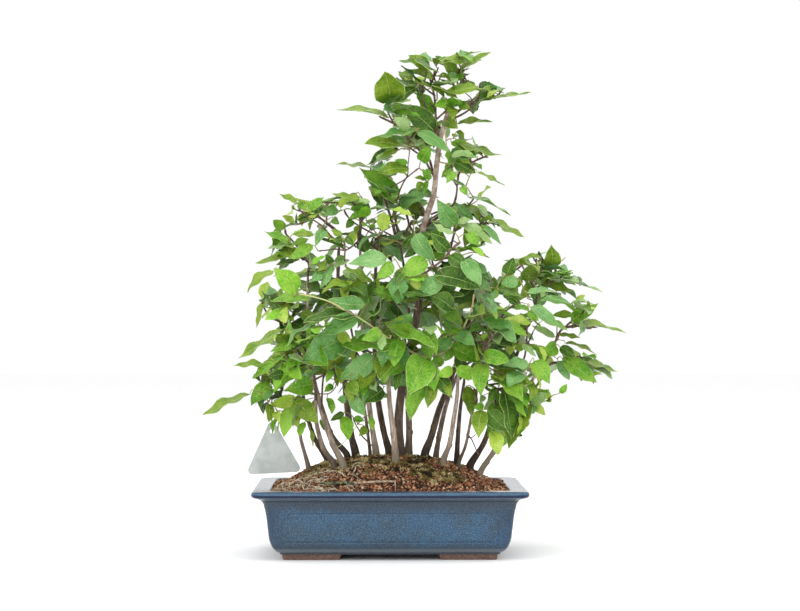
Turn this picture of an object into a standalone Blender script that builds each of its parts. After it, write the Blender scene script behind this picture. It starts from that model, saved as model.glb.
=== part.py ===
"""A stewartia bonsai, in metres: a clump of twenty slim stems on a mound of soil in a glazed oblong pot.

The pot is centred on X = Y = 0 with its long front towards -Y, and its feet stand on Z = 0. The stems
and boughs are tapering curves. Each mass of foliage grows from the tip or the side of one limb by one
seeded rule: a leader, side twigs off it by turns, and a leaf at every node and tip. A mass keeps to its
own cell of the space round the crown, and whatever would leave that cell or touch a limb is skipped.
"""

from math import atan2, ceil, cos, pi, radians, sin, sqrt

import bmesh
import bpy
import numpy as np
from mathutils import Matrix, Vector

GAP = 0.0003
WELD = 1e-6

# The pot: an oblong tray with a bellied wall, a broad rim, a sunk panel on each side and four bracket feet
POT_WIDTH = 0.236
POT_DEPTH = 0.172
POT_HEIGHT = 0.060
RIM_WIDTH = 0.0155
RIM_CORNER = 0.009
CAVITY_FLOOR = 0.0105
# How far the wall stands in from the rim's outer edge, and the height, from the foot to the rim's top
WALL_PROFILE = (
    (0.0236, 0.0050),
    (0.0201, 0.0080),
    (0.0175, 0.0115),
    (0.0156, 0.0160),
    (0.0143, 0.0220),
    (0.0134, 0.0300),
    (0.0122, 0.0400),
    (0.0104, 0.0485),
    (0.0082, 0.0517),
    (0.0039, 0.0535),
    (0.0006, 0.0553),
    (0.0000, 0.0572),
    (0.0020, 0.0600),
)
CAVITY_DRAFT = 0.0060
CAVITY_EDGE = 0.0010
CAVITY_CORNER = 0.0060
WALL_RINGS_UNDER_RIM = 8
PANEL_LOW, PANEL_HIGH = 0.0153, 0.0413
PANEL_END = 0.0255
PANEL_NOTCH = 0.0060
PANEL_SINK = 0.0008
PANEL_REACH = 0.06
FOOT_START, FOOT_SIDE_START = 0.041, 0.024
FOOT_BAND = 0.012
FOOT_INSET = 0.0019
FOOT_CORNER = 0.004
FOOT_SUNK = 0.0008
DRAIN_RADIUS = 0.007
DRAIN_X = 0.055

# The soil: level with the rim's inside at its edge, and mounded towards the middle
SOIL_EDGE = 0.0570
MOUND_RISE = 0.027
MOUND_HALF_X, MOUND_HALF_Y = 0.098, 0.070
SOIL_CLEARANCE = 0.0004
SOIL_SPARE = 0.010
SOCKET_DEPTH = 0.0018
CUTTER_HEIGHT = 0.02

# Stems, left to right: foot x and y, tip x, y and z, bow of the middle in x and y, foot and tip radius
STEMS = {
    "stem_01": ((-0.072, 0.000), (-0.083, -0.010, 0.130), (-0.001, 0.003), 0.0016, 0.0010),
    "stem_02": ((-0.056, 0.013), (-0.080, 0.015, 0.183), (-0.007, 0.004), 0.0022, 0.0011),
    "stem_03": ((-0.049, -0.030), (-0.064, -0.047, 0.136), (-0.005, -0.003), 0.0021, 0.0012),
    "stem_04": ((-0.041, -0.034), (-0.072, 0.000, 0.245), (-0.011, 0.002), 0.0034, 0.0013),
    "stem_05": ((-0.038, 0.004), (-0.066, 0.027, 0.147), (-0.003, 0.003), 0.0024, 0.0012),
    "stem_06": ((-0.030, 0.012), (-0.045, 0.010, 0.266), (-0.004, 0.012), 0.0032, 0.0014),
    "stem_07": ((-0.017, 0.030), (-0.034, 0.036, 0.196), (0.001, 0.004), 0.0016, 0.0010),
    "stem_08": ((-0.012, 0.006), (-0.026, -0.005, 0.283), (-0.004, -0.004), 0.0031, 0.0013),
    "stem_09": ((0.000, 0.019), (-0.012, -0.012, 0.256), (-0.007, 0.012), 0.0029, 0.0013),
    "stem_10": ((0.005, -0.027), (-0.010, -0.042, 0.207), (0.002, -0.003), 0.0034, 0.0012),
    "stem_11": ((0.017, 0.018), (0.015, 0.045, 0.178), (0.001, 0.004), 0.0029, 0.0014),
    "stem_12": ((0.032, 0.010), (0.071, 0.020, 0.192), (-0.003, 0.004), 0.0029, 0.0013),
    "stem_13": ((0.042, 0.026), (0.069, 0.052, 0.169), (-0.005, 0.002), 0.0021, 0.0011),
    "stem_14": ((0.047, -0.022), (0.059, -0.040, 0.160), (0.003, -0.003), 0.0026, 0.0013),
    "stem_15": ((0.060, 0.010), (0.066, 0.002, 0.150), (-0.002, 0.002), 0.0021, 0.0011),
    "stem_16": ((0.061, -0.014), (0.075, -0.036, 0.140), (0.001, -0.002), 0.0015, 0.0010),
    "stem_17": ((0.072, 0.003), (0.123, 0.006, 0.201), (0.002, 0.003), 0.0027, 0.0012),
    "stem_18": ((0.082, 0.022), (0.140, 0.024, 0.158), (-0.001, 0.003), 0.0016, 0.0010),
    "stem_19": ((0.080, -0.016), (0.148, -0.006, 0.189), (-0.003, -0.006), 0.0022, 0.0011),
}
STEM_STEP = 0.024
FLARE = 1.45
FLARE_HEIGHT = 0.007
TAPER_POWER = 0.8
WOBBLE = 0.0011

# The main trunk's route from the soil to its cut top, and its radius at the foot and at the top
TRUNK_ROUTE = (
    (0.009, 0.000, 0.085),
    (0.008, 0.001, 0.116),
    (0.013, 0.003, 0.156),
    (0.023, 0.002, 0.203),
    (0.028, 0.000, 0.236),
    (0.028, -0.002, 0.271),
    (0.032, 0.000, 0.294),
    (0.039, 0.002, 0.316),
    (0.042, 0.002, 0.343),
    (0.046, 0.000, 0.369),
    (0.054, -0.002, 0.396),
)
TRUNK_RADII = 0.0043, 0.0021

# Boughs: the limb that carries it, how far along that, its elbow and tip, and its two radii
BOUGHS = {
    "bough_left_fork": ("trunk", 0.38, (0.015, 0.002, 0.238), (0.006, -0.002, 0.289), 0.0022, 0.0013),
    "bough_right_fork": ("trunk", 0.69, (0.057, 0.012, 0.308), (0.061, 0.018, 0.327), 0.0014, 0.0010),
    "bough_upper_left": ("trunk", 0.80, (0.028, -0.005, 0.352), (0.016, -0.010, 0.365), 0.0015, 0.0011),
    "bough_far_left": ("stem_01", 0.72, (-0.095, -0.011, 0.138), (-0.113, -0.013, 0.150), 0.0010, 0.0008),
}

# Masses of foliage: the limb, how far along it, the furthest leaf's tip, side twig and leaf length, and how
# far the leaves hang, from 0 for level to 1 for straight down
MASSES = {
    "foliage_apex_left": ("trunk", 0.90, (0.030, -0.014, 0.443), 0.028, 0.033, 0.15),
    "foliage_apex": ("trunk", 1.0, (0.080, 0.004, 0.443), 0.024, 0.031, 0.15),
    "foliage_apex_right": ("trunk", 0.96, (0.122, -0.008, 0.410), 0.026, 0.033, 0.20),
    "foliage_upper_left": ("bough_upper_left", 1.0, (-0.044, -0.018, 0.404), 0.030, 0.034, 0.15),
    "foliage_mid_left": ("bough_left_fork", 1.0, (-0.046, -0.012, 0.358), 0.034, 0.035, 0.15),
    "foliage_upper_right": ("bough_right_fork", 1.0, (0.107, 0.020, 0.368), 0.030, 0.034, 0.25),
    "foliage_mid_right": ("trunk", 0.66, (0.118, -0.018, 0.292), 0.032, 0.035, 0.30),
    "foliage_upper_back": ("trunk", 0.80, (0.008, 0.058, 0.388), 0.032, 0.035, 0.25),
    "foliage_left_top": ("stem_08", 1.0, (-0.054, -0.012, 0.342), 0.036, 0.036, 0.15),
    "foliage_left_crest": ("stem_06", 1.0, (-0.098, 0.018, 0.324), 0.032, 0.036, 0.15),
    "foliage_left_upper": ("stem_04", 1.0, (-0.122, 0.000, 0.286), 0.032, 0.036, 0.25),
    "foliage_left": ("stem_02", 1.0, (-0.134, 0.010, 0.226), 0.034, 0.037, 0.30),
    "foliage_far_left": ("bough_far_left", 1.0, (-0.163, -0.012, 0.124), 0.018, 0.032, 0.20),
    "foliage_left_low": ("stem_01", 1.0, (-0.112, -0.056, 0.140), 0.032, 0.037, 0.50),
    "foliage_left_skirt": ("stem_03", 1.0, (-0.078, -0.094, 0.204), 0.036, 0.040, 0.45),
    "foliage_back_left": ("stem_07", 1.0, (-0.062, 0.066, 0.256), 0.036, 0.039, 0.30),
    "foliage_front_upper": ("stem_09", 1.0, (-0.044, -0.056, 0.296), 0.036, 0.038, 0.30),
    "foliage_front": ("stem_10", 1.0, (-0.004, -0.092, 0.246), 0.036, 0.040, 0.40),
    "foliage_front_skirt": ("stem_10", 0.75, (0.030, -0.104, 0.186), 0.036, 0.042, 0.50),
    "foliage_front_skirt_left": ("stem_08", 0.32, (-0.026, -0.096, 0.180), 0.034, 0.040, 0.50),
    "foliage_front_right": ("stem_14", 1.0, (0.062, -0.090, 0.222), 0.036, 0.040, 0.40),
    "foliage_back": ("stem_11", 1.0, (0.018, 0.094, 0.246), 0.038, 0.040, 0.30),
    "foliage_middle": ("trunk", 0.45, (0.074, -0.048, 0.272), 0.036, 0.039, 0.30),
    "foliage_right_centre": ("stem_12", 1.0, (0.108, 0.034, 0.258), 0.034, 0.038, 0.30),
    "foliage_back_right": ("stem_13", 1.0, (0.088, 0.098, 0.222), 0.036, 0.040, 0.35),
    "foliage_right_low": ("stem_16", 1.0, (0.112, -0.082, 0.146), 0.032, 0.039, 0.55),
    "foliage_right_upper": ("stem_17", 1.0, (0.146, 0.010, 0.280), 0.036, 0.037, 0.20),
    "foliage_far_right": ("stem_19", 1.0, (0.207, -0.012, 0.204), 0.032, 0.037, 0.25),
    "foliage_right_edge": ("stem_18", 1.0, (0.200, 0.020, 0.160), 0.030, 0.037, 0.30),
    "foliage_right_skirt": ("stem_19", 0.60, (0.114, -0.054, 0.092), 0.028, 0.037, 0.60),
    "foliage_right_front": ("stem_15", 1.0, (0.142, -0.046, 0.196), 0.036, 0.039, 0.35),
    "foliage_back_left_low": ("stem_05", 1.0, (-0.098, 0.072, 0.196), 0.036, 0.039, 0.40),
    "foliage_upper_centre_back": ("trunk", 0.55, (0.012, 0.072, 0.318), 0.034, 0.038, 0.25),
}
LEADER_RADIUS, TWIG_RADIUS = 0.0012, 0.0009
LEADER_STEP = 0.018
LEADER_SPACING = 0.014
TWIG_SPACING = 0.011
BARE_START = 0.22
ZIGZAG = 0.0016
LEADER_BEND = 0.42
TWIG_RISE = 0.10
TWIG_TURN = radians(137.5)
LAST_TWIG = 0.92
BEAD_STEP = 0.0015
FIRST_LEAF, LAST_LEAF = 0.26, 0.97
LEAF_WIDTH = 0.61
LEAF_ROOT_THICKNESS = 0.0007
LEAF_WIDEST = 0.42
LEAF_DROOP = 0.12
LEAF_SUNK = 0.0002
LEAF_SIZES = 0.78, 1.08
LEAF_TURN = 0.5
LEAF_FALL_SPREAD = 0.25
LEAF_TILT = 0.45
LEAF_TRIES = 10
LEAF_BEAD = 0.0012
LEAF_PAST_LEADER = 0.65
CELL_MARGIN = 0.0003
CELL_CENTRE = 0.58
JOINT_SHARE = 0.72
LOWEST_LEAF = 0.086
CARRIED_REACH = 0.0055
CROWN_HEART = (0.02, 0.0, 0.20)

# The hang tag: a bare rounded triangle on a loop of thread over the far left bough
TAG_WIDTH = 0.0504
TAG_HEIGHT = 0.0493
TAG_THICKNESS = 0.0008
TAG_CORNER = 0.0037
TAG_HOLE_RADIUS = 0.0021
TAG_HOLE_DROP = 0.0125
TAG_TILT = radians(3.0)
TAG_AT = (-0.103, 0.0706)
TAG_BEAD_STEP, TAG_BEAD = 0.005, 0.0035
THREAD_RADIUS = 0.0005
THREAD_SLACK = 0.0004

SEED = 7


def clear_scene():
    for thing in list(bpy.data.objects):
        bpy.data.objects.remove(thing, do_unlink=True)


def new_collection(name):
    made = bpy.data.collections.new(name)
    bpy.context.scene.collection.children.link(made)
    return made


def material(name, colour, roughness, metallic=0.0):
    made = bpy.data.materials.new(name)
    made.use_nodes = True
    shader = made.node_tree.nodes["Principled BSDF"]
    shader.inputs["Base Color"].default_value = (*colour, 1.0)
    shader.inputs["Roughness"].default_value = roughness
    shader.inputs["Metallic"].default_value = metallic
    return made


def add(name, mesh, collection, look=None):
    """An object from a mesh, linked in the collection, in its one material."""
    thing = bpy.data.objects.new(name, mesh)
    collection.objects.link(thing)
    if look:
        mesh.materials.clear()
        mesh.materials.append(look)
    return thing


def mesh_from(shape, name):
    """A mesh from a bmesh, with its faces turned outwards."""
    bmesh.ops.recalc_face_normals(shape, faces=shape.faces)
    if shape.calc_volume(signed=True) < 0:
        bmesh.ops.reverse_faces(shape, faces=shape.faces)
    mesh = bpy.data.meshes.new(name)
    shape.to_mesh(mesh)
    shape.free()
    return mesh


def evaluated_mesh(thing):
    """What the object's modifiers or its curve make, with loose caps welded, as a new mesh."""
    graph = bpy.context.evaluated_depsgraph_get()
    mesh = bpy.data.meshes.new_from_object(thing.evaluated_get(graph))
    shape = bmesh.new()
    shape.from_mesh(mesh)
    bmesh.ops.remove_doubles(shape, verts=shape.verts, dist=WELD)
    bpy.data.meshes.remove(mesh)
    return mesh_from(shape, thing.name)


def make_cutter(thing):
    thing.hide_render = True
    thing.display_type = "WIRE"
    return thing


def boolean(target, operation, other, solver="EXACT"):
    step = target.modifiers.new(operation.lower(), "BOOLEAN")
    step.operation = operation
    step.solver = solver
    if isinstance(other, bpy.types.Collection):
        step.operand_type = "COLLECTION"
        step.collection = other
    else:
        step.object = other


def curve_mesh(name, curve):
    """The closed mesh that a curve makes."""
    thing = bpy.data.objects.new(name, curve)
    bpy.context.scene.collection.objects.link(thing)
    mesh = evaluated_mesh(thing)
    bpy.data.objects.remove(thing, do_unlink=True)
    return mesh


def tube(name, points, radii, profile=None, closed=False):
    """A tapering tube along the points: six-sided, or with the outline of the profile curve."""
    curve = bpy.data.curves.new(name, "CURVE")
    curve.dimensions = "3D"
    curve.use_fill_caps = True
    if profile:
        curve.bevel_mode = "OBJECT"
        curve.bevel_object = profile
    else:
        curve.bevel_depth = 1.0
        curve.bevel_resolution = 1
    spline = curve.splines.new("POLY")
    spline.points.add(len(points) - 1)
    spline.use_cyclic_u = closed
    for bead, point, radius in zip(spline.points, points, radii):
        bead.co = (*point, 1.0)
        bead.radius = radius
    return curve_mesh(name, curve)


def flat_plate(name, outlines, thickness):
    """A flat plate in XY from closed outlines, the first its edge and any others holes in it."""
    curve = bpy.data.curves.new(name, "CURVE")
    curve.dimensions = "2D"
    curve.fill_mode = "BOTH"
    curve.extrude = thickness / 2
    for outline in outlines:
        spline = curve.splines.new("POLY")
        spline.points.add(len(outline) - 1)
        spline.use_cyclic_u = True
        for bead, (x, y) in zip(spline.points, outline):
            bead.co = (x, y, 0.0, 1.0)
    return curve_mesh(name, curve)


def arc(centre, radius, start, end, steps):
    turns = np.linspace(start, end, steps + 1)
    return [(centre[0] + radius * cos(turn), centre[1] + radius * sin(turn)) for turn in turns]


def rounded_oblong(half_x, half_y, radius, steps=2):
    """The corner points of an oblong with round corners, anticlockwise."""
    outline = []
    for quarter, (sign_x, sign_y) in enumerate(((1, 1), (-1, 1), (-1, -1), (1, -1))):
        centre = sign_x * (half_x - radius), sign_y * (half_y - radius)
        outline += arc(centre, radius, quarter * pi / 2, (quarter + 1) * pi / 2, steps)
    return outline


def loft(name, rings):
    """A closed body through rings of equally many points, each ring an outline and its height."""
    shape = bmesh.new()
    loops = [[shape.verts.new((x, y, z)) for x, y in outline] for outline, z in rings]
    for lower, upper in zip(loops, loops[1:]):
        for i, corner in enumerate(lower):
            after = (i + 1) % len(lower)
            shape.faces.new((corner, lower[after], upper[after], upper[i]))
    shape.faces.new(loops[0])
    shape.faces.new(loops[-1])
    return mesh_from(shape, name)


def wall_ring(inset, height, sink=0.0):
    """The pot wall's outline at one height, sunk a little further in for the panels' floor."""
    half_x = POT_WIDTH / 2 - inset - sink
    half_y = POT_DEPTH / 2 - inset - sink
    return rounded_oblong(half_x, half_y, RIM_CORNER - 0.35 * min(inset, 0.01)), height


def upright_cylinder(name, centre, radius, sides):
    shape = bmesh.new()
    bmesh.ops.create_cone(
        shape,
        cap_ends=True,
        segments=sides,
        radius1=radius,
        radius2=radius,
        depth=CUTTER_HEIGHT,
        matrix=Matrix.Translation(centre),
    )
    return mesh_from(shape, name)


def notched_oblong(half_x, low, high):
    """An oblong whose four corners are hollowed out by quarter circles."""
    outline = []
    corners = ((half_x, high), (-half_x, high), (-half_x, low), (half_x, low))
    for quarter, corner in enumerate(corners):
        start = (3 + quarter) * pi / 2
        outline += arc(corner, PANEL_NOTCH, start, start - pi / 2, 4)
    return outline


def cavity_outline(inset):
    """The outline of the pot's cavity, this far in from the rim's inner edge."""
    return rounded_oblong(POT_WIDTH / 2 - RIM_WIDTH - inset, POT_DEPTH / 2 - RIM_WIDTH - inset, CAVITY_CORNER)


def make_pot(collection, cutters, glaze):
    rings = [wall_ring(inset, height) for inset, height in WALL_PROFILE]
    rings.append((cavity_outline(0.0), POT_HEIGHT))
    rings.append((cavity_outline(CAVITY_EDGE), POT_HEIGHT - CAVITY_EDGE))
    rings.append((cavity_outline(CAVITY_DRAFT), CAVITY_FLOOR))
    pot = add("pot", loft("pot", rings), collection, glaze)

    # The panel cutters reach in as far as a copy of the wall that is sunk by the panel's depth
    under_rim = WALL_PROFILE[:WALL_RINGS_UNDER_RIM]
    core = loft("panel_floor", [wall_ring(inset, height, PANEL_SINK) for inset, height in under_rim])
    floor = make_cutter(add("panel_floor", core, cutters))
    for name, turn, half, reach in (
        ("front", 0, POT_WIDTH / 2 - PANEL_END, -POT_DEPTH / 2),
        ("back", 0, POT_WIDTH / 2 - PANEL_END, POT_DEPTH / 2),
        ("left", pi / 2, POT_DEPTH / 2 - PANEL_END, POT_WIDTH / 2),
        ("right", pi / 2, POT_DEPTH / 2 - PANEL_END, -POT_WIDTH / 2),
    ):
        mesh = flat_plate("panel_" + name, [notched_oblong(half, PANEL_LOW, PANEL_HIGH)], PANEL_REACH)
        upright = Matrix.Rotation(pi / 2, 4, "X")
        mesh.transform(Matrix.Rotation(turn, 4, "Z") @ Matrix.Translation((0, reach, 0)) @ upright)
        panel = make_cutter(add("panel_" + name, mesh, cutters))
        boolean(panel, "DIFFERENCE", floor)
        boolean(pot, "DIFFERENCE", panel)

    # Each foot is an L whose corner lies under the pot's corner
    end_x = POT_WIDTH / 2 - WALL_PROFILE[0][0] - FOOT_INSET
    end_y = POT_DEPTH / 2 - WALL_PROFILE[0][0] - FOOT_INSET
    bracket = [
        (FOOT_START, -end_y),
        (end_x - FOOT_CORNER, -end_y),
        (end_x, -end_y + FOOT_CORNER),
        (end_x, -FOOT_SIDE_START),
        (end_x - FOOT_BAND, -FOOT_SIDE_START),
        (end_x - FOOT_BAND, -end_y + FOOT_BAND),
        (FOOT_START, -end_y + FOOT_BAND),
    ]
    foot_height = WALL_PROFILE[0][1] + FOOT_SUNK
    for i, (sign_x, sign_y) in enumerate(((1, 1), (-1, 1), (-1, -1), (1, -1))):
        outline = [(sign_x * x, sign_y * y) for x, y in bracket]
        mesh = flat_plate(f"foot_{i}", [outline], foot_height)
        mesh.transform(Matrix.Translation((0, 0, foot_height / 2)))
        boolean(pot, "UNION", make_cutter(add(f"foot_{i}", mesh, cutters)))
    for side in (-1, 1):
        drain = upright_cylinder(f"drain_{side}", (side * DRAIN_X, 0, CAVITY_FLOOR / 2), DRAIN_RADIUS, 16)
        boolean(pot, "DIFFERENCE", make_cutter(add(drain.name, drain, cutters)))
    return pot


def soil_height(x, y):
    """Height of the soil's surface: a mound that falls away to the level fill at the rim."""
    share_x = min(abs(x) / MOUND_HALF_X, 1.0)
    share_y = min(abs(y) / MOUND_HALF_Y, 1.0)
    return SOIL_EDGE + MOUND_RISE * (1 - share_x**2.6) * (1 - share_y**2)


def make_soil(collection, cutters, look, feet):
    """The soil: a grid lifted to the mound's height, closed below and trimmed, with a socket for each stem."""
    half_x = POT_WIDTH / 2 - RIM_WIDTH + SOIL_SPARE
    half_y = POT_DEPTH / 2 - RIM_WIDTH + SOIL_SPARE
    shape = bmesh.new()
    bmesh.ops.create_grid(shape, x_segments=11, y_segments=7, size=1.0)
    for vert in shape.verts:
        x, y = vert.co.x * half_x, vert.co.y * half_y
        vert.co = (x, y, soil_height(x, y))
    skirt = bmesh.ops.extrude_face_region(shape, geom=list(shape.faces))["geom"]
    for vert in (item for item in skirt if isinstance(item, bmesh.types.BMVert)):
        vert.co.z = 0.0
    soil = add("soil", mesh_from(shape, "soil"), collection, look)

    rings = [(cavity_outline(CAVITY_DRAFT + SOIL_CLEARANCE), CAVITY_FLOOR + GAP)]
    for height in (POT_HEIGHT - CAVITY_EDGE, 2 * POT_HEIGHT):
        rings.append((cavity_outline(CAVITY_EDGE + SOIL_CLEARANCE), height))
    boolean(soil, "INTERSECT", make_cutter(add("soil_limit", loft("soil_limit", rings), cutters)))
    for name, (foot, radius) in feet.items():
        middle = foot[0], foot[1], foot[2] - GAP + CUTTER_HEIGHT / 2
        socket = upright_cylinder("socket_" + name, middle, (radius + GAP) / cos(pi / 6), 6)
        boolean(soil, "DIFFERENCE", make_cutter(add(socket.name, socket, cutters)))
    return soil


class Limb:
    """A tapering limb: its axis points, its radius at each, and its length so far at each."""

    def __init__(self, points, radii):
        self.points = np.array(points)
        self.radii = np.array(radii)
        steps = np.linalg.norm(np.diff(self.points, axis=0), axis=1)
        self.along = np.concatenate(([0.0], np.cumsum(steps)))

    def at(self, share):
        """The point, direction and radius this share of the way along."""
        place = share * self.along[-1]
        i = min(int(np.searchsorted(self.along, place, side="right")) - 1, len(self.points) - 2)
        step = self.points[i + 1] - self.points[i]
        part = (place - self.along[i]) / (self.along[i + 1] - self.along[i])
        radius = self.radii[i] + part * (self.radii[i + 1] - self.radii[i])
        return self.points[i] + part * step, step / np.linalg.norm(step), radius

    def beads(self, step=BEAD_STEP):
        """Points close together along the axis, and the radius at each."""
        count = int(ceil(self.along[-1] / step)) + 1
        places = np.linspace(0, self.along[-1], count)
        points = np.stack([np.interp(places, self.along, self.points[:, i]) for i in range(3)], axis=1)
        return points, np.interp(places, self.along, self.radii)


def unit(vector):
    return vector / np.linalg.norm(vector)


def smooth_route(points, step):
    """Points about one step apart on a Catmull-Rom curve through the route's own."""
    route = np.array(points)
    ends = np.vstack([2 * route[0] - route[1], route, 2 * route[-1] - route[-2]])
    out = [route[0]]
    for a, b, c, d in zip(ends, ends[1:], ends[2:], ends[3:]):
        pieces = max(1, int(round(np.linalg.norm(c - b) / step)))
        for i in range(1, pieces + 1):
            t = i / pieces
            curve = (2 * a - 5 * b + 4 * c - d) * t**2 + (3 * b - a - 3 * c + d) * t**3
            out.append(0.5 * (2 * b + (c - a) * t + curve))
    return np.array(out)


def planted(points, foot_radius, tip_radius):
    """A limb that rises straight from a flared, level foot and then follows the points."""
    foot = points[0]
    above = foot + (0, 0, FLARE_HEIGHT)
    rest = [point for point in points[1:] if point[2] > above[2] + FLARE_HEIGHT / 2]
    route = np.array([foot, above, *rest])
    limb = Limb(route, np.zeros(len(route)))
    share = limb.along / limb.along[-1]
    limb.radii = foot_radius + (tip_radius - foot_radius) * share**TAPER_POWER
    limb.radii[0] = foot_radius * FLARE
    return limb


def grow_limbs():
    limbs = {}
    for index, (name, (foot, tip, bow, foot_radius, tip_radius)) in enumerate(STEMS.items()):
        rng = np.random.default_rng(SEED + index)
        start = np.array((*foot, soil_height(*foot) - SOCKET_DEPTH))
        count = int(round((tip[2] - start[2]) / STEM_STEP))
        share = np.linspace(0, 1, count + 1)[:, None]
        points = start + share * (np.array(tip) - start) + 4 * share * (1 - share) * np.array((*bow, 0.0))
        points[1:-1, :2] += rng.uniform(-WOBBLE, WOBBLE, (count - 1, 2))
        limbs[name] = planted(points, foot_radius, tip_radius)
    route = smooth_route(TRUNK_ROUTE, STEM_STEP)
    route[0, 2] = soil_height(*route[0, :2]) - SOCKET_DEPTH
    limbs["trunk"] = planted(route, *TRUNK_RADII)
    for name, (parent, share, elbow, tip, base_radius, tip_radius) in BOUGHS.items():
        heading = unit(np.array(elbow) - limbs[parent].at(share)[0])
        start = meeting_point(limbs[parent], share, heading, base_radius)
        points = smooth_route((start, elbow, tip), STEM_STEP)
        limbs[name] = Limb(points, np.linspace(base_radius, tip_radius, len(points)))
    return limbs


def meeting_point(parent, share, heading, radius):
    """Where a shoot with this heading and radius starts, its flat end one gap clear of the parent limb."""
    point, direction, parent_radius = parent.at(share)
    if share >= 1.0:
        return point + direction * GAP
    across = unit(heading - direction * heading.dot(direction))
    lean = abs(heading.dot(direction))
    return point + across * (parent_radius + GAP + radius * lean)


def leader_of(name, limbs):
    """A mass's stem: it leaves its limb smoothly, bends over to its tip and zigzags at each node."""
    parent, share, reach, _, leaf_length, _ = MASSES[name]
    rng = np.random.default_rng(SEED + 100 + list(MASSES).index(name))
    point, direction, radius = limbs[parent].at(share)
    tip = reach - unit(reach - point) * leaf_length * LEAF_PAST_LEADER
    if share < 1.0:
        direction = unit(direction + 1.6 * unit(tip - point))
        radius = LEADER_RADIUS
    start = meeting_point(limbs[parent], share, direction, radius)
    span = np.linalg.norm(tip - start)
    bend = start + direction * span * LEADER_BEND
    count = max(3, int(round(span / LEADER_STEP)))
    t = np.linspace(0, 1, count + 1)[:, None]
    points = (1 - t) ** 2 * start + 2 * t * (1 - t) * bend + t**2 * tip
    points[1] = start + direction * np.linalg.norm(points[1] - start)
    side = unit(np.cross(tip - start, rng.normal(size=3)))
    signs = (-1.0) ** np.arange(2, count)
    points[2:-1] += side * (signs * ZIGZAG * rng.uniform(0.6, 1.3, count - 2))[:, None]
    return Limb(points, np.linspace(min(radius, LEADER_RADIUS), TWIG_RADIUS, count + 1))


def cells(leaders):
    """For each mass, the planes that bound its cell, each an outward normal and an offset.

    One plane parts it from each other mass, and the last stands across its furthest leaf's tip.
    """
    centres = {name: leader.at(CELL_CENTRE)[0] for name, leader in leaders.items()}
    found = {}
    for name, centre in centres.items():
        _, _, reach, size, _, _ = MASSES[name]
        planes = []
        for other, away in centres.items():
            if other == name:
                continue
            span = away - centre
            distance = np.linalg.norm(span)
            weight = size**2 - MASSES[other][3] ** 2
            offset = (away.dot(away) - centre.dot(centre) + weight) / (2 * distance)
            planes.append((*(span / distance), offset - CELL_MARGIN))
        onward = unit(reach - leaders[name].points[0])
        planes.append((*onward, onward.dot(reach)))
        found[name] = np.array(planes)
    return found


def inside(planes, points):
    return points[:, 2].min() > LOWEST_LEAF and bool((points @ planes[:, :3].T <= planes[:, 3]).all())


class Blade:
    """One leaf: its root, the direction of its midrib, its upper normal, and its length."""

    def __init__(self, root, axis, normal, length):
        self.root, self.axis, self.length = root, axis, length
        self.side = unit(np.cross(normal, axis))
        self.normal = np.cross(axis, self.side)

    def at(self, along, across):
        """A point of the blade: shares of its length along it, and of its half width across it."""
        past = max(along - LEAF_WIDEST, 0.0) / (1 - LEAF_WIDEST)
        width = min(along / LEAF_WIDEST, (1 - along) / (1 - LEAF_WIDEST)) * LEAF_WIDTH / 2
        return self.root + self.length * (
            self.axis * along + self.side * across * width - self.normal * LEAF_DROOP * past
        )

    def corners(self):
        """The two widest points and the tip, which lie outermost."""
        return np.array([self.at(LEAF_WIDEST, 1), self.at(LEAF_WIDEST, -1), self.at(1, 0)])

    def beads(self):
        shares = (0.25, 0.45, 0.65, 0.85)
        spots = [self.at(along, across) for along in shares for across in (-0.8, 0, 0.8)]
        return np.array(spots), np.full(len(spots), LEAF_BEAD)

    def touches(self, points, radii):
        """Whether any of the beads, points with a radius each, comes within a gap of the leaf."""
        away = points - self.root
        along, across, above = away @ self.axis, np.abs(away @ self.side), away @ self.normal
        past = np.clip(along / self.length, 0, 1)
        narrowing = np.minimum(past / LEAF_WIDEST, (1 - past) / (1 - LEAF_WIDEST))
        half = self.length * LEAF_WIDTH / 2 * narrowing
        level = -LEAF_DROOP * self.length * np.clip((past - LEAF_WIDEST) / (1 - LEAF_WIDEST), 0, 1)
        near = radii + GAP + LEAF_ROOT_THICKNESS
        beyond = (along > -near) & (along < self.length + near)
        return bool(np.any(beyond & (across < half + near) & (np.abs(above - level) < near)))

    def mesh(self, name):
        """A six-faced blade: an upright edge at the root, two corners at its widest, and the tip bent down."""
        lift = self.normal * LEAF_ROOT_THICKNESS / 2
        shape = bmesh.new()
        for corner in (self.root + lift, self.root - lift, *self.corners()):
            shape.verts.new(corner)
        bmesh.ops.convex_hull(shape, input=shape.verts)
        return mesh_from(shape, name)


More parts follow.
